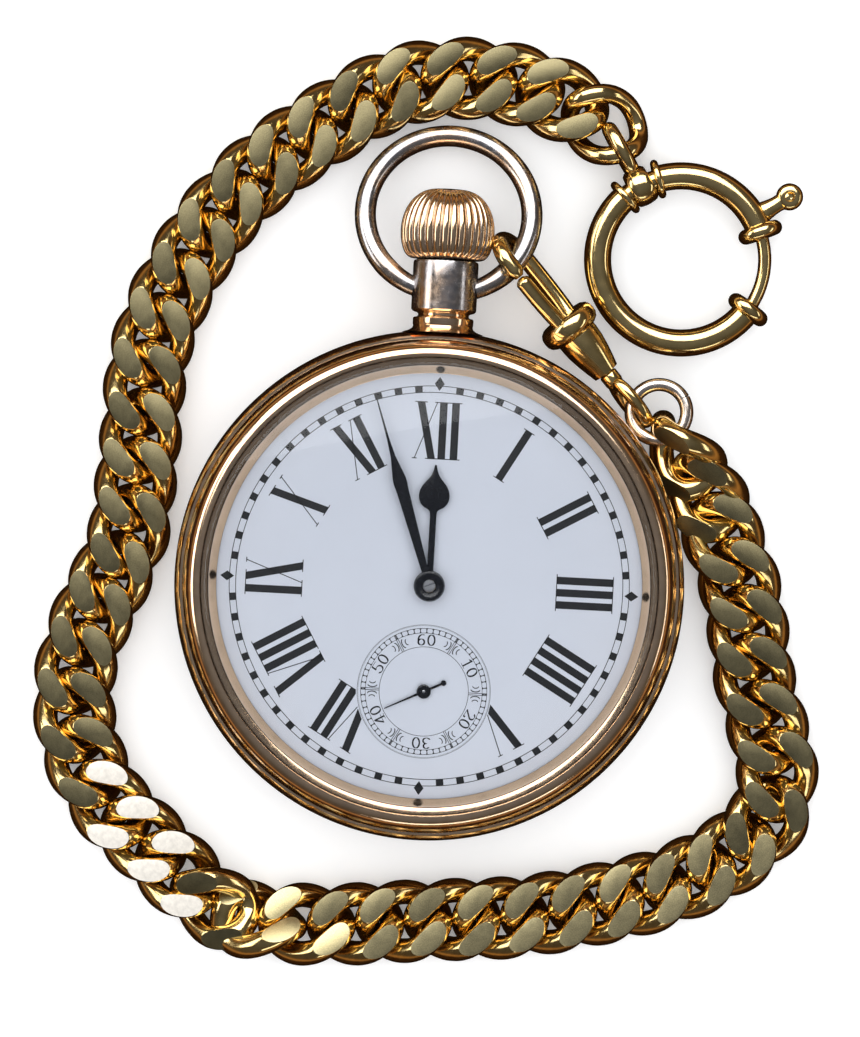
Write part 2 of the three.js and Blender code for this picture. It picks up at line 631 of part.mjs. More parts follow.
// A foot that carries a bridge: a block between two radii and two bearings.
function foot(inner, outer, from, to, low, high = LEVEL.plate - SEAT) {
  const shape = new THREE.Shape();
  shape.absarc(0, 0, outer, radians(from), radians(to), false);
  shape.absarc(0, 0, inner, radians(to), radians(from), true);
  return slab(shape, low, high, 4);
}

function barrelBridge() {
  const shape = new THREE.Shape();
  shape.absarc(0, 0, BRIDGE.radius, radians(25), radians(176), false);
  shape.lineTo(-3.0, 1.2);
  shape.lineTo(-1.2, -1.6);
  shape.lineTo(1.6, -1.6);
  shape.lineTo(4.6, 1.2);
  const deck = slab(shape, LEVEL.bridge, LEVEL.bridgeTop, 10);
  const feet = [
    foot(BRIDGE.radius - BRIDGE.footWidth, BRIDGE.radius, 118, 172, LEVEL.bridgeTop - 0.01),
    foot(BRIDGE.radius - BRIDGE.footWidth, BRIDGE.radius, 28, 62, LEVEL.bridgeTop - 0.01),
  ];
  const arborHole = rod(0.75 + FIT, 0, 20, 12, barrelPlace[0], barrelPlace[1]);
  const crownHole = rod(WINDING.ringRadius + FIT, 0, 20, 20, ...crownWheelPlace);
  return cut(join(deck, ...feet), arborHole, crownHole, rod(TRAIN.arborRadius + FIT, 0, 20, 8),
    clickHole());
}

function trainBridge() {
  const shape = new THREE.Shape();
  shape.absarc(0, 0, BRIDGE.radius, radians(184), radians(284), false);
  shape.lineTo(escapePlace[0] + 0.9, escapePlace[1] - 1.5);
  shape.lineTo(escapePlace[0] + 0.5, escapePlace[1] + 1.1);
  shape.lineTo(2.2, -8.4);
  shape.lineTo(-2.0, -2.6);
  shape.lineTo(-4.0, 0.2);
  const deck = slab(shape, LEVEL.bridge, LEVEL.bridgeTop, 10);
  const feet = [
    foot(BRIDGE.radius - BRIDGE.footWidth, BRIDGE.radius, 190, 215, LEVEL.bridgeTop - 0.01),
    foot(BRIDGE.radius - BRIDGE.footWidth, BRIDGE.radius, 258, 282, LEVEL.bridgeTop - 0.01),
  ];
  const clearOfBalance = rod(BALANCE.radius + 0.3, 0, 20, 32, ...balancePlace);
  const holes = [thirdPlace, fourthPlace, escapePlace].map(pivotHole);
  return cut(join(deck, ...feet), clearOfBalance, ...holes);
}

function balanceCock() {
  const [x, y] = balancePlace;
  const footPlace = polar(15.6, 11);
  const arm = new THREE.Shape();
  arm.absarc(x, y, 2.0, radians(170), radians(-30), false);
  arm.lineTo(footPlace.x + 1.6, footPlace.y - 1.0);
  arm.lineTo(footPlace.x + 0.6, footPlace.y + 1.3);
  arm.lineTo(footPlace.x - 2.2, footPlace.y + 0.6);
  const deck = slab(arm, LEVEL.cock, LEVEL.cock + 0.6, 8);
  const leg = rod(1.3, LEVEL.cock, LEVEL.plate - SEAT, 16, footPlace.x - 0.4, footPlace.y - 0.2);
  return cut(join(deck, leg), rod(0.2 + FIT, LEVEL.cock + 0.2, 3, 8, x, y));
}

function palletBridge() {
  const along = new THREE.Matrix4().makeRotationZ(radians(BALANCE.bearing - 90))
    .setPosition(palletPlace[0], palletPlace[1], 0);
  const deck = box(0, 0, 3.48, 9.4, 1.3, 0.26);
  const legs = [-1, 1].map((side) => rod(0.65, 3.4, LEVEL.plate - SEAT, 10, side * 4.2, 0));
  return placed(cut(join(deck, ...legs), rod(0.2 + FIT, 0, 20, 8)), along);
}

// ---------------------------------------------------------------- motion work and hands

function cannonPinion() {
  const { cannonTeeth, cannonRadius } = MOTION;
  const leaves = toothed(cannonTeeth, cannonRadius - MESH_GAP / 2, 0.2, LEVEL.plateTop + 0.1,
    LEVEL.plateTop + 0.55);
  const pipe = rod(0.68, LEVEL.plateTop + 0.5, HANDS.minuteZ - SEAT, 12);
  return cut(join(leaves, pipe), rod(TRAIN.arborRadius + SEAT, 0, 9.2, 8));
}

function minuteWheel() {
  const { minuteTeeth, minuteRadius, pinionTeeth, pinionRadius } = MOTION;
  const low = LEVEL.plateTop + 0.15;
  const disc = toothed(minuteTeeth, minuteRadius - MESH_GAP / 2, TRAIN.toothDepth, low, low + 0.25);
  const leaves = toothed(pinionTeeth, pinionRadius - MESH_GAP / 2, 0.15, low + 0.2, low + 0.95);
  const body = cut(join(disc, leaves), rod(0.35 + SEAT, 0, 20, 8));
  return moved(body, minutePlace[0], minutePlace[1], 0);
}

function hourWheel() {
  const { hourTeeth, hourRadius, cannonRadius } = MOTION;
  const low = LEVEL.plateTop + 0.72;
  const disc = toothed(hourTeeth, hourRadius - MESH_GAP / 2, TRAIN.toothDepth, low, low + 0.25);
  const pipe = rod(cannonRadius + 0.15, low, HANDS.hourZ - SEAT, 14);
  return cut(join(disc, pipe), rod(0.68 + FIT, 0, 20, 12));
}

function hourHand() {
  const { hourLength, hubRadius, thickness, hourZ } = HANDS;
  const hub = washer(0.72 + SEAT, hubRadius, hourZ, hourZ + thickness, 24);
  const blade = new THREE.Shape();
  blade.moveTo(-0.31, 1.2);
  blade.lineTo(0.31, 1.2);
  blade.lineTo(0.31, 7.1);
  blade.bezierCurveTo(0.5, 7.6, 1.55, 8.0, 1.5, 9.0);
  blade.bezierCurveTo(1.4, 10.2, 0.3, 10.6, 0, hourLength);
  blade.bezierCurveTo(-0.3, 10.6, -1.4, 10.2, -1.5, 9.0);
  blade.bezierCurveTo(-1.55, 8.0, -0.5, 7.6, -0.31, 7.1);
  return join(hub, slab(blade, hourZ, hourZ + thickness, 5)).rotate([0, 0, HAND_ANGLES.hour]);
}

function minuteHand() {
  const { minuteLength, hubRadius, thickness, minuteZ } = HANDS;
  const hub = washer(0.45, hubRadius - 0.1, minuteZ, minuteZ + thickness, 24);
  const widest = minuteLength * 0.6;
  const blade = slab(outlineOf([
    [-0.35, 1.2], [0.35, 1.2], [0.6, widest - 0.8], [0.45, widest], [0.2, widest + 1.6],
    [0.05, minuteLength], [-0.05, minuteLength], [-0.2, widest + 1.6], [-0.45, widest],
    [-0.6, widest - 0.8],
  ]), minuteZ, minuteZ + thickness);
  return join(hub, blade).rotate([0, 0, HAND_ANGLES.minute]);
}

function secondsHand() {
  const { secondsZ, secondsTip, secondsTail, thickness } = HANDS;
  const hub = rod(0.7, secondsZ, secondsZ + 0.22, 16);
  const blade = slab(outlineOf([
    [-0.12, -secondsTail], [0.12, -secondsTail], [0.12, 0.5], [0.04, secondsTip],
    [-0.04, secondsTip], [-0.12, 0.5],
  ]), secondsZ, secondsZ + 0.12);
  const ball = rod(0.28, secondsZ, secondsZ + 0.12, 12, 0, -secondsTail);
  const body = join(hub, blade, ball).rotate([0, 0, HAND_ANGLES.seconds]);
  return moved(body, 0, -TRAIN.secondsOffset, 0);
}

// ---------------------------------------------------------------- winding work

function windingPinion() {
  const { pinionTeeth, pinionRadius, pinionY, pinionLength } = WINDING;
  const body = toothed(pinionTeeth, pinionRadius, 0.3, pinionY, pinionY + pinionLength);
  return alongY(cut(body, rod(STEM.radius + FIT, 0, 30, 12)));
}

function clutchWheel() {
  const body = join(rod(1.3, 12.2, 13.0, 16), rod(STEM.radius + CLEAR, 12.9, 13.5, 16),
    toothed(14, 1.5, 0.25, 13.45, WINDING.pinionY - 0.2));
  return alongY(cut(body, rod(STEM.radius + FIT, 0, 30, 12)));
}

function ratchetWheel() {
  const { ratchetTeeth, ratchetRadius } = WINDING;
  const disc = toothed(ratchetTeeth, ratchetRadius - MESH_GAP / 2, 0.3, LEVEL.winding,
    LEVEL.bridge - FIT);
  const square = box(0, 0, LEVEL.winding, 1.3, 1.3, 2);
  return moved(cut(disc, square), barrelPlace[0], barrelPlace[1], 0);
}

function crownWheel() {
  const { crownTeeth, crownRadius, ringRadius, pinionRadius } = WINDING;
  const disc = toothed(crownTeeth, crownRadius - MESH_GAP / 2, 0.3, LEVEL.winding, LEVEL.bridge - FIT);
  const top = CASE.middleZ - pinionRadius - FIT;
  const collar = washer(ringRadius - 0.7, ringRadius, LEVEL.winding, top, 20);
  return moved(join(disc, collar), crownWheelPlace[0], crownWheelPlace[1], 0);
}

const clickPlace = offset(barrelPlace, WINDING.ratchetRadius + 1.15, 30);
const clickHole = () => rod(0.4 + FIT, 0, LEVEL.bridge + 0.6, 10, ...clickPlace);

function click() {
  const lever = slab(outlineOf([
    [-0.7, -0.6], [0.7, -0.6], [0.8, 0.7], [-0.2, 2.6], [-0.55, 2.7], [-0.45, 1.6], [-0.75, 0.6],
  ]), LEVEL.winding, LEVEL.bridge - FIT);
  const pin = rod(0.4, LEVEL.winding, LEVEL.bridge + 0.5, 10);
  return moved(join(lever, pin).rotate([0, 0, 44]), clickPlace[0], clickPlace[1], 0);
}

// ---------------------------------------------------------------- snap and jump ring

// The snap's own frame: +X from the bow towards the chain, origin at the middle of its collar.
function snapFrame(roll = 0, along = 0) {
  const { heading, slope, collar } = SNAP;
  const frame = new THREE.Matrix4().makeRotationZ(radians(heading));
  frame.multiply(new THREE.Matrix4().makeRotationY(radians(slope)));
  frame.multiply(new THREE.Matrix4().makeRotationX(radians(roll)));
  const middle = point3(collar).add(new THREE.Vector3(along, 0, 0).transformDirection(frame)
    .multiplyScalar(along));
  return frame.setPosition(middle);
}

const alongX = (body) => placed(body, new THREE.Matrix4().makeRotationY(Math.PI / 2));

function snapBody() {
  const { hookReach, hookHalfWidth: half, wire: thickness, collarRadius, collarWidth } = SNAP;
  const points = [[0.2, half * 0.75], [-2.5, half], [-hookReach + half, half]];
  for (let i = 1; i < 6; i += 1) {
    const spot = polar(half, 90 + i * 30);
    points.push([-hookReach + half + spot.x, spot.y]);
  }
  points.push([-hookReach + half + SNAP.tipLength, -half]);
  const curve = new THREE.CatmullRomCurve3(points.map(([x, y]) => new THREE.Vector3(x, y, 0)));
  const hook = wire(curve, thickness / 2, 18, 8);
  const collar = alongX(turned([
    [0, -collarWidth / 2], [collarRadius * 0.85, -collarWidth / 2], [collarRadius, -0.5],
    [collarRadius, 0.5], [collarRadius * 0.85, collarWidth / 2],
    [SNAP.coneRadius, collarWidth / 2 + 0.1], [SNAP.coneEnd, SNAP.coneLength],
    [0, SNAP.coneLength],
  ], 20, false));
  const swivelHole = alongX(rod(0.55 + FIT, SNAP.coneLength - 2.2, 20, 12));
  const swivelRoom = alongX(rod(0.95 + FIT, SNAP.coneLength - 3.4, SNAP.coneLength - 2, 12));
  const opening = box(SNAP.coneLength - 2.8, 0, 1.6, 1.2, 0.8, 3.2);
  const gateSlot = box(-0.7, -half * 0.88, 0, 2.6, 2.6, SNAP.gateWire + 0.6);
  const body = cut(join(hook, collar), swivelHole, swivelRoom, opening, gateSlot);
  return placed(body, snapFrame(SNAP.roll));
}

function snapGate() {
  const { hookReach, hookHalfWidth: half, gateWire } = SNAP;
  const curve = new THREE.CatmullRomCurve3([
    new THREE.Vector3(-0.6, -half * 0.72, 0), new THREE.Vector3(-3.5, -half * 0.95, 0),
    new THREE.Vector3(-hookReach + half + SNAP.tipLength + 0.35, -half, 0),
  ]);
  return placed(wire(curve, gateWire / 2, 6, 8), snapFrame(SNAP.roll));
}

function snapSwivel() {
  const { length, width, wire: thickness, reach, roll } = SNAP_EYE;
  const eye = placed(ovalRing(length, width, thickness, 14, 6),
    new THREE.Matrix4().makeRotationX(radians(roll)).setPosition(reach, 0, 0));
  const shank = alongX(rod(0.55, SNAP.coneLength - 2.5, reach - length / 2 + 0.6, 10));
  const head = alongX(rod(0.95, SNAP.coneLength - 3.2, SNAP.coneLength - 2.3, 10));
  return placed(join(eye, shank, head), snapFrame());
}

function jumpRing() {
  const { centre, radius, wire: thickness, tilt, rise } = JUMP_RING;
  const ring = solid(new THREE.TorusGeometry(radius, thickness / 2, 6, 18));
  const frame = new THREE.Matrix4().makeRotationZ(radians(rise))
    .multiply(new THREE.Matrix4().makeRotationY(-radians(tilt))).setPosition(...centre);
  return placed(ring, frame);
}

// ---------------------------------------------------------------- chain

// A curb link: an oval whose ends are twisted against each other, so that it lies flat in a row.
function linkLine(t) {
  const a = (LINK.length - LINK.wire) / 2;
  const b = (LINK.width - LINK.wire) / 2;
  const angle = 2 * Math.PI * t;
  const bulged = (value) => Math.sign(value) * Math.abs(value) ** (2 / LINK.squareness);
  const x = a * bulged(Math.cos(angle));
  const y = b * bulged(Math.sin(angle));
  const twist = -radians(LINK.twist) * (x / a);
  return new THREE.Vector3(x, y * Math.cos(twist), y * Math.sin(twist));
}

const route = new THREE.CatmullRomCurve3(CHAIN_ROUTE.map(point3), false, 'centripetal');
const linkCount = LINKS_PER_RUN * CHAIN_RUNS + 1; // the last one is the end ring

// Where link i lies: its middle on the route, +X along the route and +Z up, then rolled.
function linkFrame(i) {
  const at = i / (linkCount - 1);
  const ahead = route.getPointAt(Math.min(1, at + 0.008));
  const behind = route.getPointAt(Math.max(0, at - 0.008));
  const along = ahead.sub(behind).normalize();
  const across = new THREE.Vector3(0, 0, 1).cross(along).normalize();
  const up = new THREE.Vector3().crossVectors(along, across);
  const frame = new THREE.Matrix4().makeBasis(along, across, up);
  const roll = LINK_ROLLS[i] ?? 0;
  frame.multiply(new THREE.Matrix4().makeRotationX(radians(roll)));
  return frame.setPosition(route.getPointAt(at));
}

function linkSolid(i) {
  const link = closedWire((t) => frameAt(linkLine, t), LINK.wire / 2, LINK.steps, LINK.sides);
  const ground = link.warp((vertex) => {
    vertex[2] = THREE.MathUtils.clamp(vertex[2], -LINK.halfThickness, LINK.halfThickness);
  });
  return placed(ground, linkFrame(i));
}

// A bead of metal where two neighbouring links of one run touch.
function bead(i) {
  const count = 36;
  const [first, second] = [linkFrame(i), linkFrame(i + 1)].map((frame) => Array.from(
    { length: count }, (_, k) => linkLine(k / count).applyMatrix4(frame)));
  let nearest = Infinity;
  const middle = new THREE.Vector3();
  for (const a of first) {
    for (const b of second) {
      if (a.distanceTo(b) < nearest) {
        nearest = a.distanceTo(b);
        middle.addVectors(a, b).multiplyScalar(0.5);
      }
    }
  }
  return solid(new THREE.IcosahedronGeometry(0.6, 0).translate(middle.x, middle.y, middle.z));
}

function chainRun(index) {
  const from = index * LINKS_PER_RUN;
  const links = Array.from({ length: LINKS_PER_RUN }, (_, k) => linkSolid(from + k));
  const beads = Array.from({ length: LINKS_PER_RUN - 1 }, (_, k) => bead(from + k));
  return join(...links, ...beads);
}

// ---------------------------------------------------------------- bolt ring

function arcCurve(radius, from, to) {
  const points = [];
  const count = Math.max(4, Math.round(Math.abs(to - from) / 15));
  for (let i = 0; i <= count; i += 1) {
    const spot = polar(radius, from + ((to - from) * i) / count);
    points.push(new THREE.Vector3(spot.x, spot.y, 0));
  }
  return new THREE.CatmullRomCurve3(points);
}

function arcWire(radius, thickness, from, to, sides = 8) {
  const steps = Math.max(3, Math.round(Math.abs(to - from) / 13));
  return wire(arcCurve(radius, from, to), thickness / 2, steps, sides);
}

// A short collar round the ring's tube at one bearing.
function collarAt(bearing, radius, width, sides = 10) {
  const spot = polar(BOLT_RING.radius, bearing);
  const frame = new THREE.Matrix4().makeRotationZ(radians(bearing + 90))
    .multiply(new THREE.Matrix4().makeRotationY(Math.PI / 2)).setPosition(spot.x, spot.y, 0);
  return placed(rod(radius, -width / 2, width / 2, sides), frame);
}

function boltRingBody() {
  const { radius, tube, gapFrom, gapTo, swivelBearing: swivel, swivelHalfGap: half } = BOLT_RING;
  const { neckRadius, collarRadius, collarWidth, boltWire, boltTail, boltTravel } = BOLT_RING;
  const halves = [
    arcWire(radius, tube, gapTo, swivel - half, 8),
    arcWire(radius, 2 * neckRadius, swivel - half - 3, swivel + half + 3, 8),
    arcWire(radius, tube, swivel + half, 360 + gapFrom, 8),
  ];
  const collars = [gapTo, gapFrom].map((at) => collarAt(at, collarRadius, collarWidth));
  const shoulders = [swivel - half, swivel + half].map((at) => collarAt(at, 1.95, 0.7));
  const room = boltWire + 2 * FIT + 0.1;
  const bore = arcWire(radius, room, gapTo - 12, boltTail + boltTravel + 3, 6);
  const socket = arcWire(radius, room, gapFrom - 14, gapFrom + 12, 6);
  const slotShape = new THREE.Shape();
  slotShape.absarc(0, 0, radius + 4, radians(28), radians(boltTravel + 40), false);
  slotShape.absarc(0, 0, radius, radians(boltTravel + 40), radians(28), true);
  const slot = slab(slotShape, -0.55, 0.55, 8);
  const body = cut(join(...halves, ...collars, ...shoulders), bore, socket, slot);
  return moved(body, ...BOLT_RING.centre);
}

function boltRingSlide() {
  const { radius, tube, gapFrom, boltWire, boltTail, knobBearing } = BOLT_RING;
  const { knobRadius, knobReach, knobThickness, stalkWidth } = BOLT_RING;
  const bolt = arcWire(radius, boltWire, gapFrom - 8, boltTail, 6);
  const neck = alongX(rod(stalkWidth / 2, radius, knobReach, 8));
  const outside = radius + tube / 2 + FIT;
  const tab = slab(outlineOf([
    [outside, -0.75], [knobReach, -knobRadius * 0.9], [knobReach, knobRadius * 0.9],
    [outside, 0.75],
  ]), -knobThickness / 2, knobThickness / 2);
  const end = rod(knobRadius, -knobThickness / 2, knobThickness / 2, 14, knobReach, 0);
  const knob = join(neck, tab, end).rotate([0, 0, knobBearing]);
  return moved(join(bolt, knob), ...BOLT_RING.centre);
}

function boltRingSwivel() {
  const { radius, swivelBearing, neckRadius } = BOLT_RING;
  const frame = new THREE.Matrix4().makeRotationZ(radians(swivelBearing + 90))
    .multiply(new THREE.Matrix4().makeRotationY(Math.PI / 2))
    .setPosition(polar(radius, swivelBearing).x, polar(radius, swivelBearing).y, 0);
  const band = placed(washer(neckRadius + 2 * FIT, neckRadius + 0.8, -1.15, 1.15, 16), frame);
  const { eyeLength, eyeWidth, eyeWire, eyeReach, eyeLift } = BOLT_RING;
  const middle = polar(eyeReach, swivelBearing);
  const eyeAt = new THREE.Matrix4().makeRotationZ(radians(swivelBearing))
    .multiply(new THREE.Matrix4().makeRotationX(Math.PI / 2))
    .setPosition(middle.x, middle.y, eyeLift);
  const eye = placed(ovalRing(eyeLength, eyeWidth, eyeWire, 14, 6), eyeAt);
  return moved(join(band, eye), ...BOLT_RING.centre);
}

// ---------------------------------------------------------------- all the pieces

const rose = MATERIALS.roseGold();
const gold = MATERIALS.chainGold();
addPiece('case_middle', caseMiddle(), rose);
addPiece('case_back', caseBack(), rose);
addPiece('bezel', bezel(), rose);
addPiece('crystal', crystal(), MATERIALS.glass());
addPiece('dial', dial(), MATERIALS.enamel());
addPiece('movement_ring', movementRing(), MATERIALS.brass());
addPiece('pendant', pendant(), MATERIALS.palePlate());
addPiece('stem_collar', stemCollar(), MATERIALS.steel());
addPiece('crown', crown(), rose);
addPiece('winding_stem', windingStem(), MATERIALS.steel());
addPiece('bow', bow(), MATERIALS.palePlate());
addPiece('minute_hand', minuteHand(), MATERIALS.blueSteel());
addPiece('hour_hand', hourHand(), MATERIALS.blueSteel());
addPiece('seconds_hand', secondsHand(), MATERIALS.blueSteel());
addPiece('main_plate', mainPlate(), MATERIALS.nickel());
addPiece('barrel_bridge', barrelBridge(), MATERIALS.nickel());
addPiece('train_bridge', trainBridge(), MATERIALS.nickel());
addPiece('balance_cock', balanceCock(), MATERIALS.nickel());
addPiece('pallet_bridge', palletBridge(), MATERIALS.nickel());
addPiece('barrel', barrel(), MATERIALS.brass());
addPiece('barrel_arbor', barrelArbor(), MATERIALS.steel());
addPiece('mainspring', mainspring(), MATERIALS.steel());
addPiece('center_wheel', centreWheel(), MATERIALS.brass());
addPiece('third_wheel', thirdWheel(), MATERIALS.brass());
addPiece('fourth_wheel', fourthWheel(), MATERIALS.brass());
addPiece('escape_wheel', escapeWheel(), MATERIALS.steel());
addPiece('pallet_fork', palletFork(), MATERIALS.steel());
addPiece('balance_wheel', balanceWheel(), MATERIALS.brass());
addPiece('hairspring', hairspring(), MATERIALS.blueSteel());
addPiece('cannon_pinion', cannonPinion(), MATERIALS.steel());
addPiece('minute_wheel', minuteWheel(), MATERIALS.brass());
addPiece('hour_wheel', hourWheel(), MATERIALS.brass());
addPiece('winding_pinion', windingPinion(), MATERIALS.steel());
addPiece('clutch_wheel', clutchWheel(), MATERIALS.steel());
addPiece('ratchet_wheel', ratchetWheel(), MATERIALS.steel());
addPiece('crown_wheel', crownWheel(), MATERIALS.steel());
addPiece('click', click(), MATERIALS.steel());
addPiece('snap_body', snapBody(), gold);
addPiece('snap_gate', snapGate(), gold);
addPiece('snap_swivel', snapSwivel(), gold);
addPiece('jump_ring', jumpRing(), MATERIALS.palePlate());
for (let i = 0; i < CHAIN_RUNS; i += 1) {
  addPiece(`chain_run_${String(i + 1).padStart(2, '0')}`, chainRun(i), gold);
}
addPiece('end_ring_link', linkSolid(linkCount - 1), gold);
addPiece('bolt_ring_body', boltRingBody(), gold);
addPiece('bolt_ring_slide', boltRingSlide(), gold);
addPiece('bolt_ring_swivel', boltRingSwivel(), gold);

export default watch;
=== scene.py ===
"""Looks of an open-face pocket watch with its curb chain, snap and bolt ring.

Sizes in the property groups are in metres. The watch lies dial up, with the crown towards +Y.
"""

import math

import bmesh
import bpy
from bpy.props import FloatProperty, FloatVectorProperty, IntProperty, PointerProperty
from mathutils import Matrix, Vector


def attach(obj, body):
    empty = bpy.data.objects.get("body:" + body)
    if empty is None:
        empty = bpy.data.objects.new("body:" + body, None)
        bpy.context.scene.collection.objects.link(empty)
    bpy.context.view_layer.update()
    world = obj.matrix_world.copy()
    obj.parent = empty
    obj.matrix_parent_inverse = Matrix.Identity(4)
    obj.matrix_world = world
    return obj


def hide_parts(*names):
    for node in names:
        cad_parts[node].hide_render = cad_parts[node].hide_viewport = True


bl_info = {
    "name": "Pocket Watch",
    "version": (1, 0, 0),
    "blender": (4, 5, 0),
    "location": "View3D > Sidebar > Pocket Watch",
    "description": "Builds a pocket watch with its curb chain, snap and bolt ring",
    "category": "Object",
}

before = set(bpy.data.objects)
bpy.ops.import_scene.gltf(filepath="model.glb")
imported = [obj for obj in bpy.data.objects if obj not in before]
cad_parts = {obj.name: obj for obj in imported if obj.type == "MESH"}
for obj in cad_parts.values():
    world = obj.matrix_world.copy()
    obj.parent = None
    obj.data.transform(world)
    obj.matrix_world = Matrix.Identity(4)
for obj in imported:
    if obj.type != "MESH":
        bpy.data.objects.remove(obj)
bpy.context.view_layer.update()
MM = 0.001

# Heights of the watch's layers in millimetres, from the surface it lies on.
CASE_LOW, CASE_MIDDLE, CASE_HIGH = 3.0, 5.9, 8.9
DIAL_BOTTOM, DIAL_TOP = 8.7, 9.2
CRYSTAL_BOTTOM, CRYSTAL_TOP = 11.0, 12.2
BEZEL_TOP = 12.0
SECONDS_OFFSET = 10.3
SECONDS_EDGE, SECONDS_CLEAR = 6.5, 6.62  # rim of the small seconds, and where numerals stop
TICK_LOW, TICK_HIGH, SCROLL_LOW = 5.7, 6.15, 4.35  # bands of the small seconds
BOW_HINGE_Y, BOW_TO_CENTRE, BOW_DROOP = 29.9, 6.9, 16
HAND_HEIGHTS = {"hour": 9.7, "minute": 10.15, "seconds": 9.4}
HAND_BEARINGS = {"minute": 18.6, "hour": -0.2, "seconds": 116}

SNAP_COLLAR = Vector((12.4, 26.2, 4.4))
SNAP_HEADING, SNAP_SLOPE, SNAP_ROLL = -48, 6, -70
SNAP_REACH, SNAP_HALF_WIDTH, SNAP_TIP = 10.7, 2.6, 1.1
CONE_LENGTH = 5.9
JUMP_RING_CENTRE = Vector((21.7, 18.2, 3.4))
BOLT_RING_CENTRE = Vector((23.15, 33.4, 2.3))
BOLT_GAP = (-34, 22)
SWIVEL_BEARING = 122
KNOB_BEARING = 33

# The chain's middle line in millimetres, from the jump ring round to the bolt ring.
CHAIN_ROUTE = [
    (24.2, 14.2, 3.3), (26.5, 10.9, 2.3), (28.1, 7.6, 1.8), (29.9, 3.6, 1.8),
    (31.3, -0.8, 1.8), (32.3, -6.5, 1.8), (34.1, -12.3, 1.8), (35.3, -16.8, 1.8),
    (34.6, -21.2, 1.8), (31.6, -24.6, 1.8), (27.8, -27.2, 1.8), (24.0, -28.9, 1.8),
    (19.8, -30.2, 1.8), (10.9, -32.2, 1.8), (1.3, -33.1, 1.8), (-8.4, -34.0, 1.8),
    (-16.0, -33.9, 1.8), (-20.4, -32.2, 1.8), (-23.6, -29.4, 1.8), (-26.7, -26.6, 1.8),
    (-29.9, -23.8, 1.8), (-32.5, -20.1, 1.8), (-34.1, -15.8, 1.8), (-34.5, -10.9, 1.8),
    (-33.5, -6.1, 1.8), (-31.8, -1.8, 1.8), (-30.1, 2.7, 1.8), (-29.3, 12.1, 1.8),
    (-28.8, 21.2, 1.8), (-26.8, 27.8, 1.8), (-23.2, 34.5, 1.8), (-18.8, 39.8, 1.8),
    (-12.6, 44.8, 1.8), (-5.6, 49.0, 1.8), (1.4, 50.2, 1.8), (6.6, 49.7, 1.8),
    (11.2, 48.2, 1.8), (14.9, 46.3, 1.9),
]
LINKS_PER_RUN, CHAIN_RUNS = 3, 15
LINK_ROLLS = {0: 50, 1: 20, 18: 16, 19: 34, 20: -18}
HIGHLIT_FACE_LINKS = range(21, 24)  # links whose ground faces are painted near white, a painted highlight
LIT_FACE_LINKS = range(9, 20)  # links whose ground faces keep the full ground gold, lighter as lit facets; the others get painted shade
LINK_SWAY, LINK_PITCH = 3.0, 2.0  # degrees that single links lean sideways and lengthwise
LINK_REACH = 0.008  # share of the chain on each side that gives a link its direction


# ---------------------------------------------------------------- sizes and finishes


def size(name, description, default):
    return FloatProperty(
        name=name, description=description, default=default, unit="LENGTH", precision=5
    )


def tint(name, description, default):
    return FloatVectorProperty(
        name=name, description=description, default=default, subtype="COLOR",
        size=3, min=0.0, max=1.0,
    )


class CaseSizes(bpy.types.PropertyGroup):
    radius: size("Case radius", "Outer radius of the case at its widest", 25.0 * MM)
    groove_radius: size("Groove radius", "Radius of the two joint lines", 24.1 * MM)
    lip_radius: size("Lip radius", "Where the bezel meets the crystal", 22.25 * MM)
    throat_radius: size("Throat radius", "Top of the bezel's inner wall", 21.6 * MM)
    dial_edge: size("Dial opening", "Radius of the dial that shows", 20.75 * MM)
    crown_radius: size("Crown radius", "Radius of the crown over its flutes", 4.62 * MM)
    crown_length: size("Crown length", "Length of the crown along the stem", 6.9 * MM)
    crown_flutes: IntProperty(
        name="Crown flutes", description="Number of lobes round the crown",
        default=33, min=12, max=60,
    )
    bow_radius: size("Bow radius", "Radius of the bow to the middle of its wire", 8.2 * MM)
    bow_wire: size("Bow wire", "Thickness of the bow's wire", 2.1 * MM)


class DialSizes(bpy.types.PropertyGroup):
    track_inner: size("Track inner radius", "Inner circle of the minute track", 18.87 * MM)
    track_outer: size("Track outer radius", "Outer circle of the minute track", 19.5 * MM)
    numeral_low: size("Numeral foot", "Radius of the hour numerals' feet", 12.4 * MM)
    numeral_high: size("Numeral head", "Radius of the hour numerals' heads", 17.9 * MM)
    minute_hand: size("Minute hand", "Length of the minute hand", 19.4 * MM)
    hour_hand: size("Hour hand", "Length of the hour hand", 11.8 * MM)
    seconds_hand: size("Seconds hand", "Length of the seconds hand", 4.2 * MM)


class ChainSizes(bpy.types.PropertyGroup):
    link_length: size("Link length", "Length of one curb link", 9.7 * MM)
    link_width: size("Link width", "Width of one curb link", 8.25 * MM)
    link_wire: size("Link wire", "Thickness of a link's wire", 2.45 * MM)
    half_thickness: size("Half thickness", "Height of the ground faces", 1.88 * MM)
    ring_radius: size("Bolt ring radius", "Radius of the bolt ring's middle line", 8.25 * MM)
    ring_tube: size("Bolt ring tube", "Thickness of the bolt ring's tube", 2.7 * MM)


class Finishes(bpy.types.PropertyGroup):
    rose_gold: tint("Rose gold", "Case, bezel and crown", (0.90, 0.64, 0.41))
    chain_gold: tint("Chain gold", "Polished gold of the chain", (0.88, 0.65, 0.28))
    ground_gold: tint("Ground gold", "Flat ground faces of the links", (0.56, 0.48, 0.26))
    worn_steel: tint("Worn plate", "Bow and pendant", (0.42, 0.40, 0.40))
    enamel: tint("Enamel", "Dial", (0.79, 0.82, 0.90))
    ink: tint("Ink", "Numerals and hands", (0.006, 0.007, 0.011))


# ---------------------------------------------------------------- materials


def new_material(name):
    material = bpy.data.materials.new(name)
    material.use_nodes = True
    nodes = material.node_tree.nodes
    return material, nodes, material.node_tree.links, nodes["Principled BSDF"]


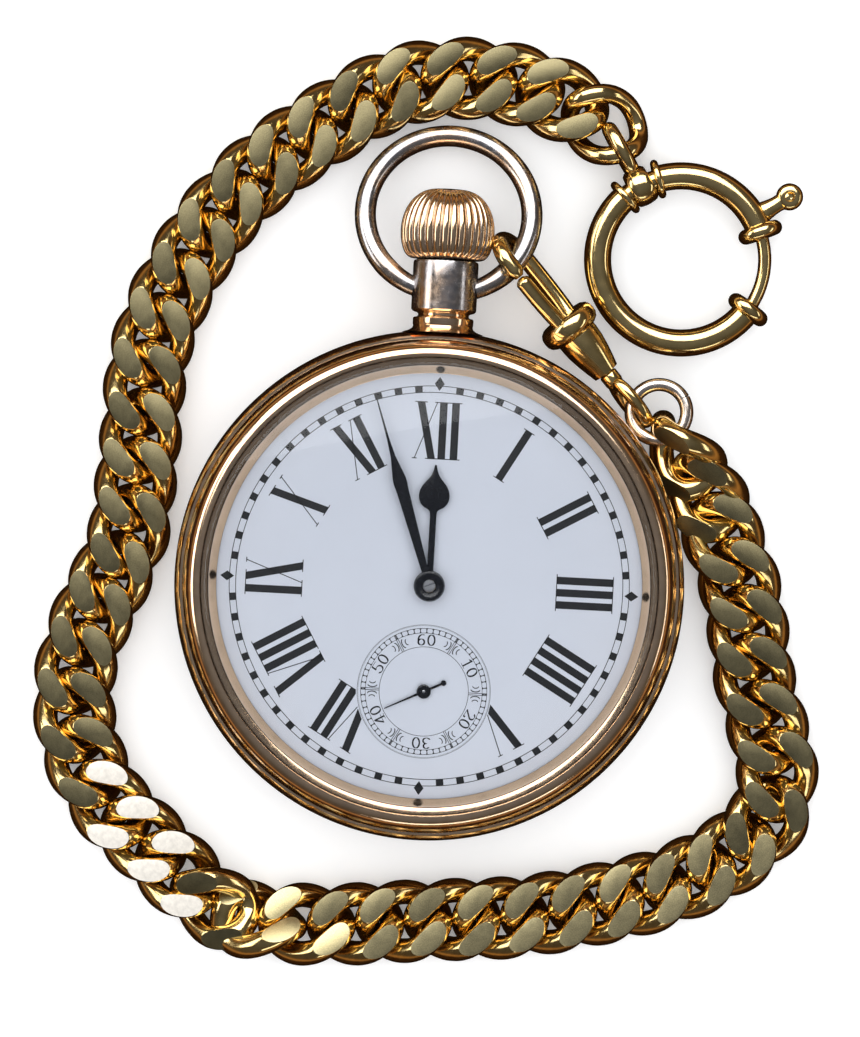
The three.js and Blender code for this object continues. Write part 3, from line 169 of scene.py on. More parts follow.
def noise(nodes, links, scale, detail, stretch=(1, 1, 1)):
    """Noise over the piece's own coordinates, in features per metre."""
    coordinates = nodes.new("ShaderNodeTexCoord")
    mapping = nodes.new("ShaderNodeMapping")
    mapping.inputs["Scale"].default_value = stretch
    texture = nodes.new("ShaderNodeTexNoise")
    texture.inputs["Scale"].default_value = scale
    texture.inputs["Detail"].default_value = detail
    texture.inputs["Roughness"].default_value = 0.6
    links.new(coordinates.outputs["Object"], mapping.inputs["Vector"])
    links.new(mapping.outputs["Vector"], texture.inputs["Vector"])
    return texture.outputs["Fac"]


def ramp(nodes, links, source, low, high, low_colour, high_colour):
    """A smooth change of colour between two levels of a noise."""
    node = nodes.new("ShaderNodeValToRGB")
    node.color_ramp.elements[0].position = low
    node.color_ramp.elements[1].position = high
    node.color_ramp.elements[0].color = (*low_colour, 1)
    node.color_ramp.elements[1].color = (*high_colour, 1)
    links.new(source, node.inputs["Fac"])
    return node.outputs["Color"]


def spread(nodes, links, source, low, high):
    """Maps a noise onto a range of values."""
    node = nodes.new("ShaderNodeMapRange")
    node.inputs["From Min"].default_value = 0.3
    node.inputs["From Max"].default_value = 0.7
    node.inputs["To Min"].default_value = low
    node.inputs["To Max"].default_value = high
    links.new(source, node.inputs["Value"])
    return node.outputs["Result"]


def bump(nodes, links, source, shader, strength, distance):
    node = nodes.new("ShaderNodeBump")
    node.inputs["Strength"].default_value = strength
    node.inputs["Distance"].default_value = distance
    links.new(source, node.inputs["Height"])
    links.new(node.outputs["Normal"], shader.inputs["Normal"])


def shade(colour, factor):
    return tuple(min(1.0, part * factor) for part in colour)


def polished_metal(name, colour, worn, roughness, wear=0.62, grain=900, relief=0.08):
    """Polished metal: hazy patches of wear, fine scratches and small dents."""
    material, nodes, links, shader = new_material(name)
    shader.inputs["Metallic"].default_value = 1.0
    patches = noise(nodes, links, 260, 4)
    links.new(ramp(nodes, links, patches, wear - 0.16, wear + 0.16, colour, worn),
              shader.inputs["Base Color"])
    haze = noise(nodes, links, grain, 6)
    links.new(spread(nodes, links, haze, roughness * 0.7, roughness * 1.5),
              shader.inputs["Roughness"])
    scratches = noise(nodes, links, grain * 1.6, 3, (1, 0.12, 1))
    bump(nodes, links, scratches, shader, relief, 0.00002)
    return material


def ground_metal(name, colour):
    """The ground face of a link: fine grain with cloudy wear."""
    material, nodes, links, shader = new_material(name)
    shader.inputs["Metallic"].default_value = 1.0
    grain = noise(nodes, links, 9000, 4)
    clouds = noise(nodes, links, 500, 3)
    fine = ramp(nodes, links, grain, 0.35, 0.65, shade(colour, 0.55), shade(colour, 1.5))
    broad = ramp(nodes, links, clouds, 0.3, 0.7, shade(colour, 0.8), shade(colour, 1.25))
    mix = nodes.new("ShaderNodeMixRGB")
    mix.inputs["Fac"].default_value = 0.5
    links.new(fine, mix.inputs["Color1"])
    links.new(broad, mix.inputs["Color2"])
    links.new(mix.outputs["Color"], shader.inputs["Base Color"])
    links.new(spread(nodes, links, clouds, 0.3, 0.42), shader.inputs["Roughness"])
    bump(nodes, links, grain, shader, 0.12, 0.00001)
    return material


def painted_highlight_metal(name, colour):
    """A ground face painted pale as a painted highlight, in a rough part-metal finish which scatters
    the light.
    """
    material, nodes, links, shader = new_material(name)
    shader.inputs["Metallic"].default_value = 0.25
    grain = noise(nodes, links, 2500, 4)
    links.new(ramp(nodes, links, grain, 0.35, 0.7, shade(colour, 0.86), colour),
              shader.inputs["Base Color"])
    links.new(spread(nodes, links, grain, 0.3, 0.5), shader.inputs["Roughness"])
    bump(nodes, links, grain, shader, 0.06, 0.00001)
    return material


def brushed_metal(name, colour, roughness, stretch):
    """Brushed movement metal, with the brush marks along one direction."""
    material, nodes, links, shader = new_material(name)
    shader.inputs["Metallic"].default_value = 1.0
    marks = noise(nodes, links, 3000, 4, stretch)
    links.new(ramp(nodes, links, marks, 0.3, 0.7, shade(colour, 0.82), shade(colour, 1.1)),
              shader.inputs["Base Color"])
    links.new(spread(nodes, links, marks, roughness * 0.8, roughness * 1.3),
              shader.inputs["Roughness"])
    bump(nodes, links, marks, shader, 0.15, 0.00002)
    return material


def dial_enamel(colour):
    """White enamel: glassy, with a faint waviness and a slight change of tint."""
    material, nodes, links, shader = new_material("dial_enamel")
    cloud = noise(nodes, links, 90, 3)
    links.new(ramp(nodes, links, cloud, 0.25, 0.75, shade(colour, 0.975), shade(colour, 1.02)),
              shader.inputs["Base Color"])
    fine = noise(nodes, links, 2500, 3)
    links.new(spread(nodes, links, fine, 0.10, 0.2), shader.inputs["Roughness"])
    shader.inputs["Coat Weight"].default_value = 0.3
    shader.inputs["Coat Roughness"].default_value = 0.03
    bump(nodes, links, cloud, shader, 0.05, 0.00005)
    return material


def black_paint(name, colour, roughness, relief):
    """Fired ink or hand lacquer: near black, speckled with dust and tiny pits."""
    material, nodes, links, shader = new_material(name)
    specks = noise(nodes, links, 9000, 4)
    links.new(ramp(nodes, links, specks, 0.62, 0.78, colour, shade(colour, 12)),
              shader.inputs["Base Color"])
    links.new(spread(nodes, links, specks, roughness * 0.8, roughness * 1.4),
              shader.inputs["Roughness"])
    bump(nodes, links, specks, shader, relief, 0.00003)
    return material


def crystal_glass():
    """Clear glass over the dial: see-through, with mirror reflections that grow at the rim."""
    material, nodes, links, shader = new_material("crystal_glass")
    output = nodes["Material Output"]
    nodes.remove(shader)
    clear = nodes.new("ShaderNodeBsdfTransparent")
    clear.inputs["Color"].default_value = (0.985, 0.99, 0.995, 1)
    gloss = nodes.new("ShaderNodeBsdfGlossy")
    smear = noise(nodes, links, 400, 3)
    links.new(spread(nodes, links, smear, 0.01, 0.05), gloss.inputs["Roughness"])
    fresnel = nodes.new("ShaderNodeFresnel")
    fresnel.inputs["IOR"].default_value = 1.3
    mix = nodes.new("ShaderNodeMixShader")
    links.new(fresnel.outputs["Fac"], mix.inputs["Fac"])
    links.new(clear.outputs["BSDF"], mix.inputs[1])
    links.new(gloss.outputs["BSDF"], mix.inputs[2])
    links.new(mix.outputs["Shader"], output.inputs["Surface"])
    return material


def studio_paper():
    """The pale sweep under the watch, with the faintest paper tooth."""
    material, nodes, links, shader = new_material("studio_paper")
    tooth = noise(nodes, links, 1500, 2)
    links.new(ramp(nodes, links, tooth, 0.3, 0.7, (0.90, 0.90, 0.90), (0.93, 0.93, 0.93)),
              shader.inputs["Base Color"])
    shader.inputs["Roughness"].default_value = 0.95
    shader.inputs["Specular IOR Level"].default_value = 0.0
    shader.inputs["Emission Color"].default_value = (1.0, 1.0, 1.0, 1)
    shader.inputs["Emission Strength"].default_value = 0.25
    return material


def finish(name):
    """The named material, made on first use from the finishes chosen in the panel."""
    full_name = f"{name}_finish"
    if full_name in bpy.data.materials:
        return bpy.data.materials[full_name]
    tints = bpy.context.scene.watch_finishes
    makers = {
        "rose_gold": lambda: polished_metal(
            name, tints.rose_gold, shade(tints.rose_gold, 0.82), 0.13, 0.6, 1200, 0.1),
        "chain_gold": lambda: polished_metal(
            name, tints.chain_gold, shade(tints.chain_gold, 0.68), 0.12, 0.55, 1500, 0.16),
        "ground_gold": lambda: ground_metal(name, tints.ground_gold),
        # Painted shade: the ground gold darkened to 0.42 for facets that face away from the lights.
        "ground_painted_shade": lambda: ground_metal(name, shade(tints.ground_gold, 0.42)),
        # Painted highlight: ground faces painted near white where facets would catch a light.
        "ground_painted_highlight": lambda: painted_highlight_metal(name, (0.98, 0.92, 0.82)),
        "ring_gold": lambda: polished_metal(
            name, shade(tints.chain_gold, 0.95), shade(tints.chain_gold, 0.75), 0.12, 0.6,
            1500, 0.14),
        "worn_plate": lambda: polished_metal(
            name, tints.worn_steel, (0.72, 0.50, 0.33), 0.2, 0.62, 1600, 0.3),
        "flute_silver": lambda: polished_metal(
            name, (0.74, 0.66, 0.60), (0.5, 0.36, 0.24), 0.2, 0.6, 1600, 0.2),
        "brushed_brass": lambda: brushed_metal(name, (0.72, 0.53, 0.25), 0.32, (1, 0.1, 1)),
        "satin_steel": lambda: brushed_metal(name, (0.55, 0.56, 0.58), 0.3, (0.1, 1, 1)),
        "striped_nickel": lambda: brushed_metal(name, (0.66, 0.63, 0.58), 0.28, (0.15, 1, 1)),
        "blued_steel": lambda: brushed_metal(name, (0.02, 0.03, 0.07), 0.25, (1, 0.2, 1)),
        "hand_black": lambda: black_paint(name, tints.ink, 0.22, 0.12),
        "dial_ink": lambda: black_paint(name, tints.ink, 0.45, 0.1),
        "dial_enamel": lambda: dial_enamel(tints.enamel),
        "crystal_glass": crystal_glass,
        "studio_paper": studio_paper,
    }
    material = makers[name]()
    material.name = full_name
    return material


# ---------------------------------------------------------------- meshes


def mesh_from(name, points, faces, materials, face_materials=None, sharp=35):
    """A smooth mesh from points in millimetres, creased where faces meet sharply."""
    mesh = bpy.data.meshes.new(name)
    mesh.from_pydata([Vector(p) * MM for p in points], [], faces)
    for material in materials:
        mesh.materials.append(finish(material))
    if face_materials:
        mesh.polygons.foreach_set("material_index", face_materials)
    mesh.update()
    mesh.shade_smooth()
    mesh.set_sharp_from_angle(angle=math.radians(sharp))
    return mesh


def add_piece(name, mesh, body, nodes=(), matrix=None):
    """Puts a mesh in the scene, riding on a body and standing for CAD nodes."""
    piece = bpy.data.objects.new(name, mesh)
    bpy.context.scene.collection.objects.link(piece)
    if matrix is not None:
        piece.matrix_world = matrix
    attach(piece, body)
    if nodes:
        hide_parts(*nodes)
    return piece


def join_meshes(name, meshes):
    """One mesh from several, keeping their materials and creases."""
    materials = []
    target = bmesh.new()
    for mesh in meshes:
        remap = []
        for material in mesh.materials:
            if material not in materials:
                materials.append(material)
            remap.append(materials.index(material))
        before = len(target.faces)
        target.from_mesh(mesh)
        target.faces.ensure_lookup_table()
        for face in target.faces[before:]:
            face.material_index = remap[face.material_index] if remap else 0
        bpy.data.meshes.remove(mesh)
    joined = bpy.data.meshes.new(name)
    target.to_mesh(joined)
    target.free()
    for material in materials:
        joined.materials.append(material)
    joined.shade_smooth()
    joined.set_sharp_from_angle(angle=math.radians(35))
    return joined


def turned(name, outline, material, segments=180, matrix=None, closed=True, wobble=None,
           sharp=35):
    """A lathe-turned piece round Z from [radius, height] points, in millimetres."""
    points, faces = [], []
    count = len(outline)
    for i in range(segments):
        angle = 2 * math.pi * i / segments
        for j, (radius, height) in enumerate(outline):
            reach = radius - wobble(angle, j / (count - 1)) if wobble else radius
            points.append((reach * math.cos(angle), reach * math.sin(angle), height))
    spans = count if closed else count - 1
    for i in range(segments):
        for j in range(spans):
            a, b = i * count + j, i * count + (j + 1) % count
            c, d = (i + 1) % segments * count + (j + 1) % count, (i + 1) % segments * count + j
            faces.append((a, d, c, b))
    if matrix is not None:
        points = [matrix @ Vector(p) for p in points]
    mesh = mesh_from(name, points, faces, [material], sharp=sharp)
    weld(mesh)
    return mesh


def weld(mesh):
    """Merges the points that fall together, such as those on a lathe's axis."""
    body = bmesh.new()
    body.from_mesh(mesh)
    bmesh.ops.remove_doubles(body, verts=body.verts, dist=1e-7)
    bmesh.ops.recalc_face_normals(body, faces=body.faces)
    body.to_mesh(mesh)
    body.free()


def frames_along(path, closed):
    """A turning-free frame at each point of a path."""
    count = len(path)
    tangents = []
    for i in range(count):
        ahead = path[(i + 1) % count] if closed or i < count - 1 else path[i]
        behind = path[i - 1] if closed or i > 0 else path[i]
        tangents.append((ahead - behind).normalized())
    start = Vector((0, 0, 1)) if abs(tangents[0].z) < 0.9 else Vector((1, 0, 0))
    side = tangents[0].cross(start).normalized()
    sides = [side]
    for i in range(1, count):
        side = (side - tangents[i] * side.dot(tangents[i])).normalized()
        sides.append(side)
    if closed:
        last = (side - tangents[0] * side.dot(tangents[0])).normalized()
        turn = math.atan2(last.cross(sides[0]).dot(tangents[0]), last.dot(sides[0]))
        sides = [Matrix.Rotation(turn * i / count, 3, tangents[i]) @ s
                 for i, s in enumerate(sides)]
    return [(t, s, t.cross(s)) for t, s in zip(tangents, sides)]


def tube(name, path, radius, material, sides=20, closed=False, flat=1.0, sharp=35):
    """A round wire along a path; radius is one value or one per point."""
    radii = radius if isinstance(radius, list) else [radius] * len(path)
    points, faces = [], []
    for point, reach, (_, side, up) in zip(path, radii, frames_along(path, closed)):
        for k in range(sides):
            angle = 2 * math.pi * k / sides
            points.append(point + side * (reach * math.cos(angle))
                          + up * (reach * flat * math.sin(angle)))
    count = len(path)
    for i in range(count if closed else count - 1):
        for k in range(sides):
            a, b = i * sides + k, i * sides + (k + 1) % sides
            c, d = (i + 1) % count * sides + (k + 1) % sides, (i + 1) % count * sides + k
            faces.append((a, b, c, d))
    if not closed:
        faces.append(tuple(range(sides - 1, -1, -1)))
        faces.append(tuple((count - 1) * sides + k for k in range(sides)))
    return mesh_from(name, points, faces, [material], sharp=sharp)


def round_ends(radius, count, steps=6):
    """Radii for a wire of constant thickness whose two ends are rounded off."""
    radii = [radius] * count
    for i in range(steps):
        radii[i] = radius * math.sin(math.pi / 2 * (i + 0.6) / (steps + 0.6))
        radii[-1 - i] = radii[i]
    return radii


def arc(centre, radius, start, end, steps):
    """Points on an arc in the XY plane, bearings in degrees."""
    points = []
    for i in range(steps + 1):
        angle = math.radians(start + (end - start) * i / steps)
        points.append(centre + Vector((radius * math.cos(angle), radius * math.sin(angle), 0)))
    return points


def smooth_path(points, steps):
    """A spline through points, the same one that the chain's route uses."""
    return [spline_at(points, i / steps) for i in range(steps + 1)]


def spline_at(points, t):
    """A centripetal Catmull-Rom spline at t from 0 to 1."""
    last = len(points) - 1
    place = min(max(t, 0.0), 1.0) * last
    index = min(int(place), last - 1)
    weight = place - index
    b, c = points[index], points[index + 1]
    a = points[index - 1] if index > 0 else b * 2 - c
    d = points[index + 2] if index + 2 <= last else c * 2 - b
    gap_1 = (b - c).length ** 0.5
    gap_0 = (a - b).length ** 0.5 or gap_1
    gap_2 = (c - d).length ** 0.5 or gap_1
    leave = ((b - a) / gap_0 - (c - a) / (gap_0 + gap_1) + (c - b) / gap_1) * gap_1
    arrive = ((c - b) / gap_1 - (d - b) / (gap_1 + gap_2) + (d - c) / gap_2) * gap_1
    square, cube = weight * weight, weight ** 3
    return (b + leave * weight + (b * -3 + c * 3 - leave * 2 - arrive) * square
            + (b * 2 - c * 2 + leave + arrive) * cube)


def even_points(points, count, divisions=400):
    """Points at even distances along a spline."""
    samples = [spline_at(points, i / divisions) for i in range(divisions + 1)]
    lengths = [0.0]
    for before, after in zip(samples, samples[1:]):
        lengths.append(lengths[-1] + (after - before).length)

    def at(share):
        goal = min(max(share, 0.0), 1.0) * lengths[-1]
        k = next(i for i in range(1, divisions + 1) if lengths[i] >= goal or i == divisions)
        part = (goal - lengths[k - 1]) / (lengths[k] - lengths[k - 1])
        return samples[k - 1].lerp(samples[k], min(part, 1.0))

    return [at(i / (count - 1)) for i in range(count)], at


def oval(length, width, wire, steps):
    """The middle line of an oval ring in its own XY plane, long along X."""
    a, b = (length - wire) / 2, (width - wire) / 2
    return [Vector((a * math.cos(2 * math.pi * i / steps), b * math.sin(2 * math.pi * i / steps),
                    0)) for i in range(steps)]


def rotated(axis, degrees):
    return Matrix.Rotation(math.radians(degrees), 4, axis)


def along_y():
    """Turns a piece made along +Z to run along +Y at the height of the stem."""
    return Matrix.Translation((0, 0, CASE_MIDDLE)) @ rotated("X", -90)


def moved(points, matrix):
    return [matrix @ p for p in points]


# ---------------------------------------------------------------- flat printing


class Print:
    """Flat inked shapes on the dial, gathered into one mesh."""

    def __init__(self, height):
        self.height = height
        self.points = []
        self.faces = []

    def polygon(self, outline):
        start = len(self.points)
        self.points += [(x, y, self.height) for x, y in outline]
        self.faces.append(tuple(range(start, start + len(outline))))

    def ring(self, centre, radius, width, steps=160):
        inner, outer = radius - width / 2, radius + width / 2
        for i in range(steps):
            a, b = 2 * math.pi * i / steps, 2 * math.pi * (i + 1) / steps
            self.polygon([(centre[0] + r * math.cos(t), centre[1] + r * math.sin(t))
                          for r, t in ((inner, a), (outer, a), (outer, b), (inner, b))])

    def stroke(self, path, nib, place):
        """Sweeps a broad nib, wide across and thin upright, along a path of points."""
        wide, thin = nib
        for (x0, y0), (x1, y1) in zip(path, path[1:]):
            corners = [(x + dx, y + dy) for x, y in ((x0, y0), (x1, y1))
                       for dx, dy in ((-wide / 2, -thin / 2), (wide / 2, -thin / 2),
                                      (wide / 2, thin / 2), (-wide / 2, thin / 2))]
            self.polygon([place(p) for p in hull(corners)])

    def mesh(self, name, material):
        return mesh_from(name, self.points, self.faces, [material])


def hull(points):
    """The convex outline round a few points."""
    ordered = sorted(set(points))

    def side(path):
        kept = []
        for p in path:
            while len(kept) > 1 and (
                    (kept[-1][0] - kept[-2][0]) * (p[1] - kept[-2][1])
                    - (kept[-1][1] - kept[-2][1]) * (p[0] - kept[-2][0])) <= 0:
                kept.pop()
            kept.append(p)
        return kept[:-1]

    return side(ordered) + side(ordered[::-1])


def radial(bearing, centre=(0, 0)):
    """Places upright artwork so that up points away from a centre, at a clock bearing."""
    angle = math.radians(bearing)

    def place(point):
        x, y = point
        return (centre[0] + x * math.cos(angle) + y * math.sin(angle),
                centre[1] - x * math.sin(angle) + y * math.cos(angle))

    return place


BAR, BAR_GAP, HAIR, SERIF = 0.74, 0.45, 0.09, 0.24


def numeral_strokes(text, low, high):
    """The strokes of a Roman numeral: its width, its bars and its hairlines."""
    x, bars, hairs = 0.0, [], []
    for letter in text:
        if letter == "I":
            bars.append(((x + BAR / 2, low), (x + BAR / 2, high)))
            x += BAR + BAR_GAP
        elif letter == "V":
            bars.append(((x + 1.45, low), (x + BAR / 2, high)))
            hairs.append(((x + 1.45, low), (x + 2.35, high)))
            x += 2.5
        else:
            bars.append(((x + 1.6, low), (x + BAR / 2, high)))
            hairs.append(((x - 0.05, low), (x + 1.95, high)))
            x += 2.0 + BAR_GAP * 0.45
    return x - BAR_GAP, bars, hairs


def print_numeral(sheet, text, bearing, low, high, keep):
    """One hour numeral, feet towards the middle; keep is positive where ink may lie."""
    width, bars, hairs = numeral_strokes(text, low, high)
    place = radial(bearing)
    pieces = []
    for (x0, y0), (x1, y1) in bars:
        pieces.append([(x0 - BAR / 2, y0), (x0 + BAR / 2, y0), (x1 + BAR / 2, y1),
                       (x1 - BAR / 2, y1)])
        for x, y in ((x0, y0), (x1, y1)):
            pieces.append([(x - BAR / 2 - SERIF, y - HAIR / 2), (x + BAR / 2 + SERIF, y - HAIR / 2),
                           (x + BAR / 2 + SERIF, y + HAIR / 2), (x - BAR / 2 - SERIF, y + HAIR / 2)])
    for (x0, y0), (x1, y1) in hairs:
        pieces.append([(x0 - HAIR / 2, y0), (x0 + HAIR / 2, y0), (x1 + HAIR / 2, y1),
                       (x1 - HAIR / 2, y1)])
        for x, y in ((x0, y0), (x1, y1)):
            pieces.append([(x - SERIF, y - HAIR / 2), (x + SERIF, y - HAIR / 2),
                           (x + SERIF, y + HAIR / 2), (x - SERIF, y + HAIR / 2)])
    for outline in pieces:
        placed = [place((x - width / 2, y)) for x, y in outline]
        trimmed = trim(placed, keep)
        if len(trimmed) > 2:
            sheet.polygon(trimmed)


def trim(outline, keep):
    """Cuts a polygon back to where keep is positive."""
    kept = []
    for a, b in zip(outline, outline[1:] + outline[:1]):
        fa, fb = keep(a), keep(b)
        if fa > 0:
            kept.append(a)
        if (fa > 0) != (fb > 0):
            low, high = (a, b) if fa > 0 else (b, a)
            for _ in range(18):
                middle = ((low[0] + high[0]) / 2, (low[1] + high[1]) / 2)
                low, high = (middle, high) if keep(middle) > 0 else (low, middle)
            kept.append(low)
    return kept


def loop_points(cx, cy, rx, ry, start, end, steps=20):
    return [(cx + rx * math.cos(math.radians(start + (end - start) * i / steps)),
             cy + ry * math.sin(math.radians(start + (end - start) * i / steps)))
            for i in range(steps + 1)]


def digit_paths(digit):
    """Centre lines of a small figure, one high and a little over half as wide."""
    if digit == "0":
        return [loop_points(0, 0.5, 0.24, 0.46, 0, 360, 28)]
    if digit == "1":
        return [[(0.0, 0.03), (0.0, 0.96)], [(-0.16, 0.8), (0.0, 0.96)],
                [(-0.17, 0.03), (0.17, 0.03)]]
    if digit == "2":
        return [loop_points(0, 0.72, 0.22, 0.24, 160, -30, 14)
                + [(-0.24, 0.05)], [(-0.24, 0.05), (0.26, 0.05)], [(0.26, 0.05), (0.28, 0.2)]]
    if digit == "3":
        return [loop_points(-0.02, 0.74, 0.2, 0.22, 150, -90, 14),
                loop_points(-0.02, 0.28, 0.25, 0.25, 90, -150, 16)]
    if digit == "4":
        return [[(0.1, 0.03), (0.1, 0.96)], [(0.1, 0.96), (-0.28, 0.3)],
                [(-0.28, 0.3), (0.28, 0.3)], [(-0.05, 0.03), (0.25, 0.03)]]
    if digit == "5":
        return [[(-0.18, 0.94), (0.22, 0.94)], [(-0.18, 0.94), (-0.2, 0.52)],
                [(-0.2, 0.52), (-0.12, 0.6)]
                + loop_points(-0.02, 0.3, 0.26, 0.29, 100, -150, 16)]
    return [loop_points(0.0, 0.3, 0.22, 0.27, 0, 360, 22),
            loop_points(0.08, 0.5, 0.3, 0.45, 190, 70, 12)]


# ---------------------------------------------------------------- operators


class WATCH_OT_case(bpy.types.Operator):
    """Adds the case middle, case back, bezel and crystal"""

    bl_idname = "watch.case"
    bl_label = "Case and crystal"

    def execute(self, context):
        s = context.scene.watch_case
        radius, groove = s.radius / MM, s.groove_radius / MM
        lip, throat, edge = s.lip_radius / MM, s.throat_radius / MM, s.dial_edge / MM
        outside = []
        for i in range(25):
            height = CASE_LOW + 0.05 + (CASE_HIGH - CASE_LOW - 0.1) * i / 24
            span = CASE_MIDDLE - CASE_LOW if height < CASE_MIDDLE else CASE_HIGH - CASE_MIDDLE
            reach = (height - CASE_MIDDLE) / span
            outside.append((groove + (radius - groove) * math.sqrt(max(0, 1 - reach ** 2 * 0.96)),
                            height))
        middle = turned("case_middle", [(22.6, CASE_LOW + 0.05), *outside, (22.6, CASE_HIGH)],
                        "rose_gold", 256)
        add_piece("case_middle_shell", middle, "case", ["case_middle"])
        back = [(0, 0.0), (9.0, 0.0)]
        for i in range(1, 21):
            angle = i / 20 * math.pi / 2 * 0.8
            back.append((9 + (groove - 9) * math.sin(angle) / math.sin(math.pi / 2 * 0.8),
                         (CASE_LOW - 0.05) * (1 - math.cos(angle))
                         / (1 - math.cos(math.pi / 2 * 0.8))))
        back += [(groove - 0.3, CASE_LOW + 0.02), (22.4, CASE_LOW + 0.02), (9, 0.85), (0, 0.85)]
        add_piece("case_back_shell", turned("case_back", back, "rose_gold", 256, closed=False),
                  "case", ["case_back"])
        ring = [(edge, CASE_HIGH + 0.5), (groove - 0.25, CASE_HIGH + 0.06),
                (groove - 0.05, CASE_HIGH + 0.12)]
        for i in range(25):
            angle = i / 24 * math.pi / 2
            ring.append((lip + 0.2 + (groove - lip - 0.2) * math.cos(angle) ** 0.9,
                         CASE_HIGH + 0.3 + (BEZEL_TOP - CASE_HIGH - 0.3) * math.sin(angle)))
        ring += [(lip + 0.06, BEZEL_TOP - 0.03), (lip + 0.04, BEZEL_TOP - 0.15),
                 (lip + 0.04, CRYSTAL_BOTTOM), (throat, CRYSTAL_BOTTOM - 0.05),
                 (throat - 0.12, CRYSTAL_BOTTOM - 0.12)]
        for i in range(1, 9):
            share = i / 8
            ring.append((throat - 0.12 + (edge - throat + 0.12) * share ** 1.4,
                         CRYSTAL_BOTTOM - 0.12 + (DIAL_TOP + 0.3 - CRYSTAL_BOTTOM) * share))
        add_piece("bezel_ring", turned("bezel_ring", ring, "rose_gold", 256),
                  "case", ["bezel"])
        glass = [(0, CRYSTAL_BOTTOM), (lip, CRYSTAL_BOTTOM), (lip, CRYSTAL_TOP - 0.5),
                 (lip - 0.12, CRYSTAL_TOP - 0.36), (lip - 0.5, CRYSTAL_TOP - 0.05),
                 (lip - 0.62, CRYSTAL_TOP), (0, CRYSTAL_TOP)]
        add_piece("crystal_pane", turned("crystal_pane", glass, "crystal_glass", 256, closed=False),
                  "case", ["crystal"])
        return {"FINISHED"}


class WATCH_OT_dial(bpy.types.Operator):
    """Adds the enamel dial with its minute track, hour numerals and seconds ring"""

    bl_idname = "watch.dial"
    bl_label = "Dial"

    def execute(self, context):
        s = context.scene.watch_dial
        plate = turned("dial_plate", [
            (1.5, DIAL_BOTTOM), (21.1, DIAL_BOTTOM), (21.1, DIAL_TOP - 0.1),
            (21.0, DIAL_TOP), (15.0, DIAL_TOP), (8.0, DIAL_TOP), (1.5, DIAL_TOP)],
            "dial_enamel", 180)
        add_piece("dial_plate", plate, "case", ["dial"])
        sheet = Print(DIAL_TOP + 0.012)
        self.minute_track(sheet, s.track_inner / MM, s.track_outer / MM)
        low, high = s.numeral_low / MM, s.numeral_high / MM

        def outside_seconds(point):
            return math.hypot(point[0], point[1] + SECONDS_OFFSET) - SECONDS_CLEAR

        texts = ["XII", "I", "II", "III", "IIII", "V", "", "VII", "VIII", "IX", "X", "XI"]
        for hour, text in enumerate(texts):
            if text:
                print_numeral(sheet, text, hour * 30, low, high, outside_seconds)
        self.seconds_ring(sheet)
        add_piece("dial_printing", sheet.mesh("dial_printing", "dial_ink"), "case")
        return {"FINISHED"}

    def minute_track(self, sheet, inner, outer):
        """Two fine circles with a block at each minute and a diamond at each quarter."""
        for radius in (inner, outer):
            sheet.ring((0, 0), radius, 0.07, 240)
        for minute in range(60):
            place = radial(minute * 6)
            if minute % 15 == 0:
                middle = outer + 0.22
                sheet.polygon([place(p) for p in (
                    (0, middle - 0.68), (0.48, middle), (0, middle + 0.68), (-0.48, middle))])
            else:
                sheet.polygon([place(p) for p in (
                    (-0.36, inner), (0.36, inner), (0.37, outer), (-0.37, outer))])

    def seconds_ring(self, sheet):
        """The small seconds ring: fine circles, ticks, figures and scroll marks."""
        centre = (0, -SECONDS_OFFSET)
        for radius, width in ((SECONDS_EDGE, 0.035), (SECONDS_EDGE - 0.08, 0.02),
                              (TICK_HIGH, 0.05), (TICK_LOW, 0.045), (SCROLL_LOW, 0.05)):
            sheet.ring(centre, radius, width, 120)
        for second in range(60):
            place = radial(second * 6, centre)
            ends = [(-0.1, 5.7), (0.1, 5.7), (0.1, 5.76), (0.04, 5.82), (0.04, 6.03),
                    (0.1, 6.09), (0.1, 6.15), (-0.1, 6.15), (-0.1, 6.09), (-0.04, 6.03),
                    (-0.04, 5.82), (-0.1, 5.76)]
            sheet.polygon([place(p) for p in ends])
        for k, text in enumerate(("60", "10", "20", "30", "40", "50")):
            place = radial(k * 60, centre)
            for n, digit in enumerate(text):
                shift = (n - 0.5) * 0.98
                for path in digit_paths(digit):
                    scaled = [(x * 1.35 + shift, y * 1.12 + 4.47) for x, y in path]
                    sheet.stroke(scaled, (0.15, 0.05), place)
            place = radial(k * 60 + 30, centre)
            for x in (-0.09, 0.09):
                sheet.polygon([place(p) for p in (
                    (x - 0.03, SCROLL_LOW), (x + 0.03, SCROLL_LOW),
                    (x + 0.03, TICK_HIGH), (x - 0.03, TICK_HIGH))])
            for side in (-1, 1):
                for x, rx, ry, nib in ((0.46, 0.24, 0.46, (0.09, 0.04)),
                                       (0.78, 0.2, 0.3, (0.08, 0.04))):
                    middle = 0 if side < 0 else 180
                    path = loop_points(side * x, 5.03, rx, ry, middle - 75, middle + 75, 14)
                    sheet.stroke(path, nib, place)


def beveled_blade(name, outline, low, high, material):
    """A flat hand blade with a low ridge down its middle."""
    points = [(x, y, low) for x, y in outline] + [(x, y, high - 0.05) for x, y in outline]
    points += [(x * 0.55, y, high) for x, y in outline]
    count = len(outline)
    faces = [tuple(range(count - 1, -1, -1)), tuple(range(2 * count, 3 * count))]
    for ring in (0, count):
        for i in range(count):
            j = (i + 1) % count
            faces.append((ring + i, ring + j, ring + count + j, ring + count + i))
    return mesh_from(name, points, faces, [material])


def hub(name, inner, outer, low, high, material="hand_black"):
    """A hand's boss with a rounded rim and a sunk middle."""
    return turned(name, [
        (inner, low), (outer - 0.06, low), (outer, low + 0.06), (outer, high - 0.12),
        (outer - 0.05, high - 0.03), (outer - 0.16, high), (outer * 0.72, high),
        (outer * 0.64, high - 0.06), (inner, high - 0.07)], material, 64, closed=True)


